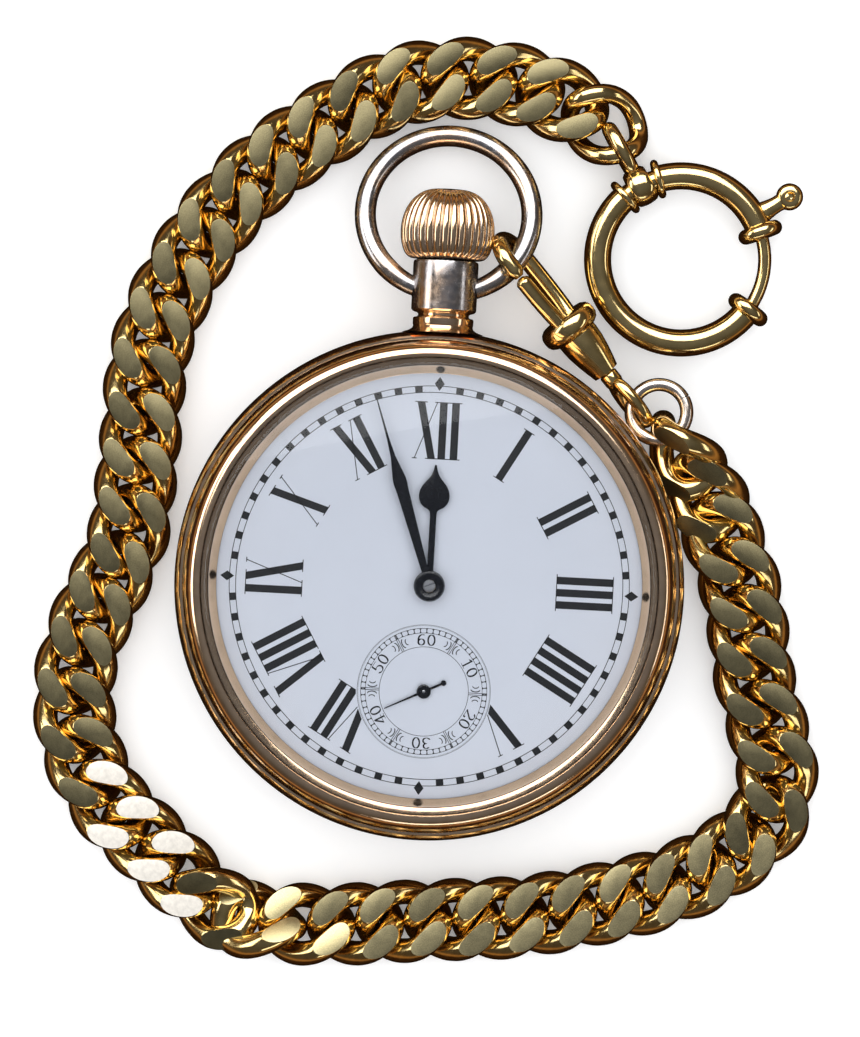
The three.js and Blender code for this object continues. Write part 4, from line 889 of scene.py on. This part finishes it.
class WATCH_OT_hands(bpy.types.Operator):
    """Adds the hour, minute and seconds hands"""

    bl_idname = "watch.hands"
    bl_label = "Hands"

    def execute(self, context):
        s = context.scene.watch_dial
        self.hour_hand(s.hour_hand / MM)
        self.minute_hand(s.minute_hand / MM)
        self.seconds_hand(s.seconds_hand / MM)
        return {"FINISHED"}

    def hour_hand(self, length):
        low = HAND_HEIGHTS["hour"]
        right = [(0.31, 1.2), (0.31, 6.9), (0.36, 7.25), (0.55, 7.45), (0.95, 7.65),
                 (1.28, 7.98), (1.46, 8.4), (1.5, 8.85), (1.42, 9.3), (1.2, 9.75),
                 (0.88, 10.15), (0.58, 10.5), (0.36, 10.85), (0.2, 11.25), (0.08, length)]
        outline = right + [(-x, y) for x, y in right[::-1]]
        blade = beveled_blade("hour_blade", outline, low, low + 0.2, "hand_black")
        boss = hub("hour_boss", 0.8, 1.52, low, low + 0.25)
        mesh = join_meshes("hour_hand_leaf", [blade, boss])
        add_piece("hour_hand_leaf", mesh, "hour", ["hour_hand"],
                  rotated("Z", HAND_BEARINGS["hour"]))

    def minute_hand(self, length):
        low = HAND_HEIGHTS["minute"]
        widest = length * 0.56
        right = [(0.33, 1.2), (0.6, widest - 1.2), (0.67, widest - 0.5), (0.65, widest),
                 (0.48, widest + 0.9), (0.24, widest + 2.2), (0.12, widest + 4.0),
                 (0.045, length)]
        outline = right + [(-x, y) for x, y in right[::-1]]
        blade = beveled_blade("minute_blade", outline, low, low + 0.2, "hand_black")
        boss = hub("minute_boss", 0.62, 1.45, low, low + 0.42)
        pin = turned("centre_pin", [(0, low - 0.2), (0.62, low - 0.2), (0.62, low + 0.42),
                                    (0.55, low + 0.5), (0.3, low + 0.52), (0, low + 0.5)],
                     "satin_steel", 48, closed=False)
        mesh = join_meshes("minute_hand_leaf", [blade, boss, pin])
        add_piece("minute_hand_leaf", mesh, "center", ["minute_hand"],
                  rotated("Z", HAND_BEARINGS["minute"]))

    def seconds_hand(self, length):
        low = HAND_HEIGHTS["seconds"]
        needle = [(0.12, -2.0), (0.12, 0.3), (0.05, length)]
        outline = needle + [(-x, y) for x, y in needle[::-1]]
        blade = beveled_blade("seconds_blade", outline, low, low + 0.12, "hand_black")
        boss = hub("seconds_boss", 0.16, 0.7, low, low + 0.28)
        pin = turned("seconds_pin", [(0, low), (0.15, low), (0.15, low + 0.28), (0, low + 0.32)],
                     "satin_steel", 24, closed=False)
        ball = turned("seconds_ball", [(0, low), (0.2, low), (0.28, low + 0.06), (0.2, low + 0.14),
                                       (0, low + 0.16)], "hand_black", 32,
                      Matrix.Translation((0, -2.1, 0)), closed=False)
        mesh = join_meshes("seconds_hand_leaf", [blade, boss, pin, ball])
        place = (Matrix.Translation((0, -SECONDS_OFFSET * MM, 0))
                 @ rotated("Z", HAND_BEARINGS["seconds"]))
        add_piece("seconds_hand_leaf", mesh, "seconds", ["seconds_hand"], place)


class WATCH_OT_crown(bpy.types.Operator):
    """Adds the pendant, the fluted crown and the bow"""

    bl_idname = "watch.crown"
    bl_label = "Pendant, crown and bow"

    def execute(self, context):
        s = context.scene.watch_case
        neck = turned("pendant_neck", [
            (1.7, 24.9), (4.0, 24.75), (3.35, 24.95), (3.0, 25.2), (2.92, 25.45), (2.98, 25.6),
            (2.98, 26.15), (2.9, 26.25), (2.62, 26.3), (2.5, 26.42), (2.5, 26.6),
            (2.62, 26.72), (2.95, 26.8), (3.1, 26.9), (3.2, 27.05)], "rose_gold", 96,
            along_y(), closed=False)
        barrel = turned("pendant_barrel", [
            (3.2, 27.05), (3.2, 28.5), (3.2, 30.0), (3.2, 31.6), (3.14, 31.8), (2.9, 31.9),
            (1.7, 31.9)], "worn_plate", 96, along_y(), closed=False)
        mesh = join_meshes("pendant_tube", [neck, barrel])
        add_piece("pendant_tube", mesh, "case", ["pendant"])
        self.crown(s.crown_radius / MM, s.crown_length / MM, s.crown_flutes)
        self.bow(s.bow_radius / MM, s.bow_wire / MM)
        return {"FINISHED"}

    def crown(self, radius, length, flutes):
        start = 32.0
        waist, top, widest = 3.2, 1.1, 0.4
        outline = [(0.8, start + 0.02), (waist - 0.25, start)]
        for i in range(13):
            angle = math.radians(-84 + 7 * i)
            outline.append((waist + (radius - waist) * math.cos(angle) ** 0.8,
                            start + length * widest * (1 + math.sin(angle))))
        for i in range(1, 21):
            angle = math.radians(4.4 * i)
            outline.append((top + (radius - top) * math.cos(angle) ** 0.9,
                            start + length * (widest + (1 - widest) * math.sin(angle))))
        outline += [(top * 0.6, start + length + 0.02), (0, start + length)]
        per_lobe = 12

        def groove(angle, share):
            fade = min(1, share * 12, max(0, 0.95 - share) * 8)
            lobe = abs(math.sin(flutes * angle / 2))
            return 0.32 * fade * (1 - lobe ** 0.5)

        mesh = turned("crown_onion", outline, "rose_gold", flutes * per_lobe, None, False, groove,
                      sharp=70)
        mesh.materials.append(finish("flute_silver"))
        marks = []
        for face in mesh.polygons:
            angle = math.atan2(face.center.y, face.center.x) / (2 * math.pi) * flutes
            near = abs(angle - round(angle)) < 0.9 / per_lobe
            height = (face.center.z / MM - start) / length
            marks.append(1 if near and 0.08 < height < 0.93 else 0)
        mesh.polygons.foreach_set("material_index", marks)
        mesh.transform(Matrix.Translation((0, 0, CASE_MIDDLE * MM)) @ rotated("X", -90))
        add_piece("crown_onion", mesh, "crown", ["crown"])

    def bow(self, radius, wire):
        end = math.degrees(math.asin(BOW_TO_CENTRE / radius)) + 12
        path = arc(Vector((0, BOW_TO_CENTRE, 0)), radius, -end, 180 + end, 160)
        droop = (Matrix.Translation((0, BOW_HINGE_Y, CASE_MIDDLE)) @ rotated("X", -BOW_DROOP))
        radii = [wire / 2 * (1 - 0.12 * max(0, 1 - i / 12)) for i in range(161)]
        radii = [min(a, b) for a, b in zip(radii, radii[::-1])]
        ring = tube("bow_ring", moved(path, droop), radii, "worn_plate", 28)
        add_piece("bow_ring", ring, "bow", ["bow"])


def snap_frame(roll=0.0):
    return (Matrix.Translation(SNAP_COLLAR) @ rotated("Z", SNAP_HEADING)
            @ rotated("Y", SNAP_SLOPE) @ rotated("X", roll))


class WATCH_OT_snap(bpy.types.Operator):
    """Adds the snap hook with its gate, its swivel eye and the jump ring"""

    bl_idname = "watch.snap"
    bl_label = "Snap and jump ring"

    def execute(self, context):
        across = snap_frame(SNAP_ROLL)
        along = snap_frame() @ rotated("Y", 90)
        half, bend = SNAP_HALF_WIDTH, -SNAP_REACH + SNAP_HALF_WIDTH
        spine = [(0.2, half * 0.75), (-2.5, half * 0.97), (bend, half)]
        for i in range(1, 6):
            angle = math.radians(90 + i * 30)
            spine.append((bend + half * math.cos(angle), half * math.sin(angle)))
        spine.append((bend + SNAP_TIP, -half))
        points = [Vector((x, y, 0)) for x, y in spine]
        path = moved(smooth_path(points, 90), across)
        radii = [0.86] * 91
        for i in range(4):
            radii[90 - i] = 0.86 * math.sin(math.pi / 2 * (i + 2) / 6)
        hook = tube("snap_hook", path, radii, "chain_gold", 24)
        collar = turned("snap_collar", [
            (0, -1.1), (1.9, -1.12), (2.35, -1.1), (2.75, -0.85), (2.97, -0.45), (3.02, 0),
            (2.97, 0.45), (2.75, 0.85), (2.35, 1.1), (2.1, 1.2), (2.12, 1.6), (2.05, 2.6),
            (1.85, 3.8), (1.6, 4.9), (1.42, 5.6), (1.36, 5.85), (1.2, CONE_LENGTH), (0.6, 5.9),
            (0.5, 5.6), (0, 5.6)], "chain_gold", 72, along, closed=False)
        body = join_meshes("snap_hook", [hook, collar])
        add_piece("snap_hook", body, "snap_body", ["snap_body"])
        gate_line = [Vector((-0.6, -half * 0.72, 0)), Vector((-3.5, -half * 0.95, 0)),
                     Vector((bend + SNAP_TIP + 0.12, -half, 0))]
        gate = tube("snap_gate_arm", moved(smooth_path(gate_line, 30), across),
                    round_ends(0.8, 31, 2), "chain_gold", 20)
        add_piece("snap_gate_arm", gate, "snap_gate", ["snap_gate"])
        eye_place = snap_frame() @ Matrix.Translation((9.7, 0, 0)) @ rotated("X", 75)
        eye = tube("swivel_eye", moved(oval(6.2, 4.3, 1.3, 72), eye_place), 0.65, "chain_gold",
                   20, True)
        shank = turned("swivel_shank", [(0, 5.2), (0.55, 5.2), (0.55, 6.0), (0.86, 6.05),
                                        (0.93, 6.15), (0.93, 7.1), (0.82, 7.45), (0.5, 7.6),
                                        (0, 7.65)], "chain_gold", 40, along, closed=False)
        swivel = join_meshes("snap_swivel_eye", [eye, shank])
        add_piece("snap_swivel_eye", swivel, "snap_swivel", ["snap_swivel"])
        place = Matrix.Translation(JUMP_RING_CENTRE) @ rotated("Z", -41) @ rotated("Y", -8)
        circle = arc(Vector((0, 0, 0)), 2.75, 73.6, 432, 96)
        ring = tube("split_ring", moved(circle, place), 0.66, "flute_silver", 22)
        add_piece("split_ring", ring, "jump_ring", ["jump_ring"])
        return {"FINISHED"}


def link_line(length, width, wire, twist=50.0, squareness=2.4, steps=144):
    """The middle line of a curb link, whose ends are twisted against each other."""
    a, b = (length - wire) / 2, (width - wire) / 2
    points = []
    for i in range(steps):
        angle = 2 * math.pi * i / steps
        x = a * math.copysign(abs(math.cos(angle)) ** (2 / squareness), math.cos(angle))
        y = b * math.copysign(abs(math.sin(angle)) ** (2 / squareness), math.sin(angle))
        turn = -math.radians(twist) * x / a
        points.append(Vector((x, y * math.cos(turn), y * math.sin(turn))))
    return points


def even_loop(points, count):
    """The same closed line with its points at even distances."""
    closed = [*points, points[0]]
    lengths = [0.0]
    for before, after in zip(closed, closed[1:]):
        lengths.append(lengths[-1] + (after - before).length)
    result, k = [], 1
    for i in range(count):
        goal = lengths[-1] * i / count
        while lengths[k] < goal:
            k += 1
        part = (goal - lengths[k - 1]) / (lengths[k] - lengths[k - 1])
        result.append(closed[k - 1].lerp(closed[k], part))
    return result


def curb_link(name, length, width, wire, half_thickness, face_finish):
    """A curb link ground flat on both faces, with the ground faces in their own finish."""
    line = even_loop(link_line(length, width, wire), 120)
    mesh = tube(name, line, wire / 2, "chain_gold", 32, True, sharp=60)
    mesh.materials.append(finish(face_finish))
    body = bmesh.new()
    body.from_mesh(mesh)
    for side in (1, -1):
        plane = Vector((0, 0, side * half_thickness * MM))
        cut = bmesh.ops.bisect_plane(
            body, geom=[*body.verts, *body.edges, *body.faces], dist=1e-7, plane_co=plane,
            plane_no=Vector((0, 0, side)), clear_outer=True)
        rim = [e for e in cut["geom_cut"] if isinstance(e, bmesh.types.BMEdge)]
        filled = bmesh.ops.holes_fill(body, edges=rim, sides=0)
        for face in filled["faces"]:
            face.material_index = 1
    bmesh.ops.recalc_face_normals(body, faces=body.faces)
    edges = [e for e in body.edges if len({f.material_index for f in e.link_faces}) > 1]
    bmesh.ops.bevel(body, geom=edges, offset=0.06 * MM, segments=2, profile=0.5, affect="EDGES",
                    clamp_overlap=True, material=0)
    body.to_mesh(mesh)
    body.free()
    mesh.shade_smooth()
    mesh.set_sharp_from_angle(angle=math.radians(40))
    return mesh


def face_kind(i):
    """The name of a link's ground face among three kinds: painted highlight, full ground gold for
    lit facets, and painted shade.
    """
    if i in HIGHLIT_FACE_LINKS:
        return "painted_highlight"
    return "gold" if i in LIT_FACE_LINKS else "painted_shade"


class WATCH_OT_chain(bpy.types.Operator):
    """Adds the curb chain, link by link, and the round link at its end"""

    bl_idname = "watch.chain"
    bl_label = "Curb chain"

    def execute(self, context):
        s = context.scene.watch_chain
        # One link mesh per ground face: full ground gold, painted shade and painted highlight.
        meshes = {
            name: curb_link(f"curb_link_{name}", s.link_length / MM, s.link_width / MM,
                            s.link_wire / MM, s.half_thickness / MM, f"ground_{name}")
            for name in ("gold", "painted_shade", "painted_highlight")}
        count = LINKS_PER_RUN * CHAIN_RUNS + 1
        points, at = even_points([Vector(p) for p in CHAIN_ROUTE], count)
        for i, point in enumerate(points):
            share = i / (count - 1)
            along = (at(share + LINK_REACH) - at(share - LINK_REACH)).normalized()
            across = Vector((0, 0, 1)).cross(along).normalized()
            up = along.cross(across)
            turn = Matrix((along, across, up)).transposed().to_4x4()
            sway = math.sin(i * 2.4) * LINK_SWAY
            place = (Matrix.Translation(point * MM) @ turn
                     @ rotated("X", LINK_ROLLS.get(i, 0) + sway)
                     @ rotated("Y", math.sin(i * 1.7) * LINK_PITCH))
            if i == count - 1:
                self.end_link(place)
                continue
            run = f"chain_run_{i // LINKS_PER_RUN + 1:02d}"
            add_piece(f"curb_link_{i + 1:02d}", meshes[face_kind(i)], run, [run],
                      place)
        return {"FINISHED"}

    def end_link(self, place):
        """The plain oval wire link that joins the chain to the bolt ring."""
        line = link_line(9.3, 8.0, 1.9, 50.0, 2.2, 96)
        mesh = tube("end_link_wire", even_loop(line, 96), 0.95, "chain_gold", 26, True)
        add_piece("end_link_wire", mesh, "end_ring_link", ["end_ring_link"], place)


class WATCH_OT_bolt_ring(bpy.types.Operator):
    """Adds the bolt ring, its sprung slide with the knob, and its swivel eye"""

    bl_idname = "watch.bolt_ring"
    bl_label = "Bolt ring"

    def execute(self, context):
        s = context.scene.watch_chain
        radius, tube_width = s.ring_radius / MM, s.ring_tube / MM
        centre = BOLT_RING_CENTRE
        low, high = BOLT_GAP
        swivel = SWIVEL_BEARING
        parts = [
            tube("ring_upper", arc(centre, radius, high, swivel - 13, 70), tube_width / 2,
                 "ring_gold", 32),
            tube("ring_lower", arc(centre, radius, swivel + 13, 360 + low, 150), tube_width / 2,
                 "ring_gold", 32),
            tube("ring_neck", arc(centre, radius, swivel - 14, swivel + 14, 24), 1.0,
                 "ring_gold", 24),
        ]
        for bearing, reach, width in ((high, 2.25, 1.5), (low, 2.25, 1.5),
                                      (swivel - 13, 1.98, 0.75), (swivel + 13, 1.98, 0.75)):
            parts.append(self.collar(bearing, radius, reach, width))
        add_piece("bolt_ring_tube", join_meshes("bolt_ring_tube", parts), "bolt_ring_body",
                  ["bolt_ring_body"])
        self.slide(radius)
        self.swivel(radius)
        return {"FINISHED"}

    def at(self, bearing, radius):
        """A frame on the ring with +Z along its tube."""
        angle = math.radians(bearing)
        spot = BOLT_RING_CENTRE + Vector((radius * math.cos(angle), radius * math.sin(angle), 0))
        return Matrix.Translation(spot) @ rotated("Z", bearing + 90) @ rotated("Y", 90)

    def collar(self, bearing, radius, reach, width):
        """A rounded bead round the tube."""
        outline = [(0.6, -width / 2)]
        for i in range(13):
            angle = math.radians(-90 + 15 * i)
            outline.append((reach - width / 2 + width / 2 * math.cos(angle),
                            width / 2 * math.sin(angle)))
        outline.append((0.6, width / 2))
        return turned("collar", outline, "ring_gold", 48, self.at(bearing, radius))

    def slide(self, radius):
        centre = BOLT_RING_CENTRE
        bolt = tube("bolt", arc(centre, radius, BOLT_GAP[0] - 8, 52, 60), 0.66, "ring_gold", 20)
        outward = Matrix.Translation(centre) @ rotated("Z", KNOB_BEARING)
        neck = [Vector((radius + i * 0.45, 0, 0)) for i in range(10)]
        stalk = tube("stalk", moved(neck, outward), [0.75, 0.9, 1.05, 1.0, 0.92, 0.85, 0.82,
                                                     0.85, 0.9, 0.9], "ring_gold", 24, flat=0.75)
        button = turned("button", [
            (0, -0.72), (0.8, -0.72), (1.15, -0.55), (1.34, -0.2), (1.34, 0.2), (1.15, 0.55),
            (0.85, 0.72), (0.55, 0.72), (0.42, 0.62), (0.3, 0.42), (0, 0.36)], "ring_gold", 40,
            outward @ Matrix.Translation((12.35, 0, 0)), closed=False)
        mesh = join_meshes("bolt_slide_knob", [bolt, stalk, button])
        add_piece("bolt_slide_knob", mesh, "bolt_ring_slide", ["bolt_ring_slide"])

    def swivel(self, radius):
        band = [(1.15, -1.15), (1.6, -1.15), (1.85, -0.9), (1.95, -0.4), (1.97, 0),
                (1.95, 0.4), (1.85, 0.9), (1.6, 1.15), (1.15, 1.15)]
        ring = turned("swivel_band", band, "chain_gold", 48, self.at(SWIVEL_BEARING, radius))
        place = (Matrix.Translation(BOLT_RING_CENTRE) @ rotated("Z", SWIVEL_BEARING)
                 @ Matrix.Translation((12.25, 0, 0.4)) @ rotated("X", 90))
        eye = tube("swivel_loop", moved(oval(6.3, 4.9, 1.5, 72), place), 0.75, "chain_gold", 22,
                   True)
        mesh = join_meshes("bolt_swivel_eye", [ring, eye])
        add_piece("bolt_swivel_eye", mesh, "bolt_ring_swivel", ["bolt_ring_swivel"])


class WATCH_OT_movement(bpy.types.Operator):
    """Gives the movement inside the case its brass, steel and nickel finishes"""

    bl_idname = "watch.movement"
    bl_label = "Movement finishes"

    FINISHES = {
        "brushed_brass": [
            "movement_ring", "barrel", "center_wheel", "third_wheel", "fourth_wheel",
            "balance_wheel", "minute_wheel", "hour_wheel"],
        "striped_nickel": [
            "main_plate", "barrel_bridge", "train_bridge", "balance_cock", "pallet_bridge"],
        "satin_steel": [
            "stem_collar", "winding_stem", "barrel_arbor", "mainspring", "escape_wheel",
            "pallet_fork", "cannon_pinion", "winding_pinion", "clutch_wheel", "ratchet_wheel",
            "crown_wheel", "click"],
        "blued_steel": ["hairspring"],
    }

    def execute(self, context):
        for material, nodes in self.FINISHES.items():
            for node in nodes:
                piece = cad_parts[node]
                for slot in piece.material_slots:
                    slot.material = finish(material)
        return {"FINISHED"}


class WATCH_OT_stage(bpy.types.Operator):
    """Adds the pale floor, the soft studio lights and the camera straight above"""

    bl_idname = "watch.stage"
    bl_label = "Stage"

    def execute(self, context):
        scene = context.scene
        scene.view_settings.view_transform = "Standard"
        self.floor()
        self.world(scene)
        self.softbox("softbox_above_crown", (-0.08, 0.36, 0.44), (0.74, 0.46), 4.0)
        self.softbox("softbox_left", (-0.46, 0.08, 0.26), (0.40, 0.16), 3.6)
        self.softbox("softbox_right", (0.46, 0.0, 0.20), (0.30, 0.06), 2.4)
        self.softbox("softbox_front", (0.10, -0.42, 0.17), (0.36, 0.07), 2.4)
        self.camera(scene)
        return {"FINISHED"}

    def floor(self):
        mesh = bpy.data.meshes.new("floor")
        reach = 1.5
        mesh.from_pydata([(-reach, -reach, 0), (reach, -reach, 0), (reach, reach, 0),
                          (-reach, reach, 0)], [], [(0, 1, 2, 3)])
        mesh.materials.append(finish("studio_paper"))
        floor = bpy.data.objects.new("floor", mesh)
        floor.location.z = -0.0002
        bpy.context.scene.collection.objects.link(floor)
        floor.visible_glossy = False

    def world(self, scene):
        """Even light on matt surfaces, and dim warm surroundings in the reflections."""
        world = bpy.data.worlds.new("studio")
        world.use_nodes = True
        scene.world = world
        nodes, links = world.node_tree.nodes, world.node_tree.links
        background = nodes["Background"]
        coordinates = nodes.new("ShaderNodeTexCoord")
        height = nodes.new("ShaderNodeSeparateXYZ")
        links.new(coordinates.outputs["Generated"], height.inputs["Vector"])
        surroundings = nodes.new("ShaderNodeValToRGB")
        elements = surroundings.color_ramp.elements
        elements[0].position, elements[0].color = 0.0, (0.01, 0.006, 0.003, 1)
        elements[1].position, elements[1].color = 1.0, (0.16, 0.17, 0.2, 1)
        for position, colour in ((0.42, (0.05, 0.02, 0.006, 1)), (0.52, (0.5, 0.26, 0.1, 1)),
                                 (0.6, (0.10, 0.07, 0.045, 1)), (0.8, (0.09, 0.085, 0.08, 1))):
            element = elements.new(position)
            element.color = colour
        shift = nodes.new("ShaderNodeMapRange")
        shift.inputs["From Min"].default_value = -1.0
        shift.inputs["From Max"].default_value = 1.0
        links.new(height.outputs["Z"], shift.inputs["Value"])
        links.new(shift.outputs["Result"], surroundings.inputs["Fac"])
        path = nodes.new("ShaderNodeLightPath")
        mix = nodes.new("ShaderNodeMixRGB")
        mix.inputs["Color1"].default_value = (1.5, 1.52, 1.55, 1)
        links.new(path.outputs["Is Glossy Ray"], mix.inputs["Fac"])
        links.new(surroundings.outputs["Color"], mix.inputs["Color2"])
        links.new(mix.outputs["Color"], background.inputs["Color"])
        background.inputs["Strength"].default_value = 0.85

    def softbox(self, name, place, extent, brightness):
        """A lit panel that shows in polished metal, and leaves matt surfaces to the sky."""
        light = bpy.data.lights.new(name, "AREA")
        light.shape = "RECTANGLE"
        light.size, light.size_y = extent
        light.energy = brightness * math.pi * extent[0] * extent[1]
        lamp = bpy.data.objects.new(name, light)
        lamp.location = place
        lamp.rotation_mode = "QUATERNION"
        lamp.rotation_quaternion = (-Vector(place)).to_track_quat("-Z", "Y")
        lamp.visible_camera = False
        lamp.visible_diffuse = False
        bpy.context.scene.collection.objects.link(lamp)

    def camera(self, scene):
        """Looks straight down from 0.55 m, turned a little about its own axis."""
        data = bpy.data.cameras.new("overhead_camera")
        distance, subject_height, view_width = 0.55, 0.004, 0.10204
        data.sensor_width = 36.0
        data.lens = data.sensor_width * (distance - subject_height) / view_width
        data.clip_start, data.clip_end = 0.01, 10
        camera = bpy.data.objects.new("overhead_camera", data)
        camera.location = (-0.00027, 0.00657, distance)
        camera.rotation_euler = (0, 0, math.radians(3))
        scene.collection.objects.link(camera)
        scene.camera = camera


OPERATORS = [
    WATCH_OT_case, WATCH_OT_dial, WATCH_OT_hands, WATCH_OT_crown, WATCH_OT_snap,
    WATCH_OT_chain, WATCH_OT_bolt_ring, WATCH_OT_movement, WATCH_OT_stage,
]
GROUPS = {
    "watch_case": CaseSizes, "watch_dial": DialSizes, "watch_chain": ChainSizes,
    "watch_finishes": Finishes,
}


class WATCH_PT_panel(bpy.types.Panel):
    """Lists the watch's pieces, sizes and finishes"""

    bl_idname = "WATCH_PT_panel"
    bl_label = "Pocket Watch"
    bl_space_type = "VIEW_3D"
    bl_region_type = "UI"
    bl_category = "Pocket Watch"

    def draw(self, context):
        for operator in OPERATORS:
            self.layout.operator(operator.bl_idname)
        for name, group in GROUPS.items():
            box = self.layout.box()
            settings = getattr(context.scene, name)
            for prop in group.__annotations__:
                box.prop(settings, prop)


def register():
    for cls in (*GROUPS.values(), *OPERATORS, WATCH_PT_panel):
        bpy.utils.register_class(cls)
    for name, group in GROUPS.items():
        setattr(bpy.types.Scene, name, PointerProperty(type=group))


def unregister():
    for name in GROUPS:
        delattr(bpy.types.Scene, name)
    for cls in reversed((*GROUPS.values(), *OPERATORS, WATCH_PT_panel)):
        bpy.utils.unregister_class(cls)


def main():
    register()
    bpy.ops.watch.case()
    bpy.ops.watch.dial()
    bpy.ops.watch.hands()
    bpy.ops.watch.crown()
    bpy.ops.watch.snap()
    bpy.ops.watch.chain()
    bpy.ops.watch.bolt_ring()
    bpy.ops.watch.movement()
    bpy.ops.watch.stage()


if __name__ == "__main__":
    main()
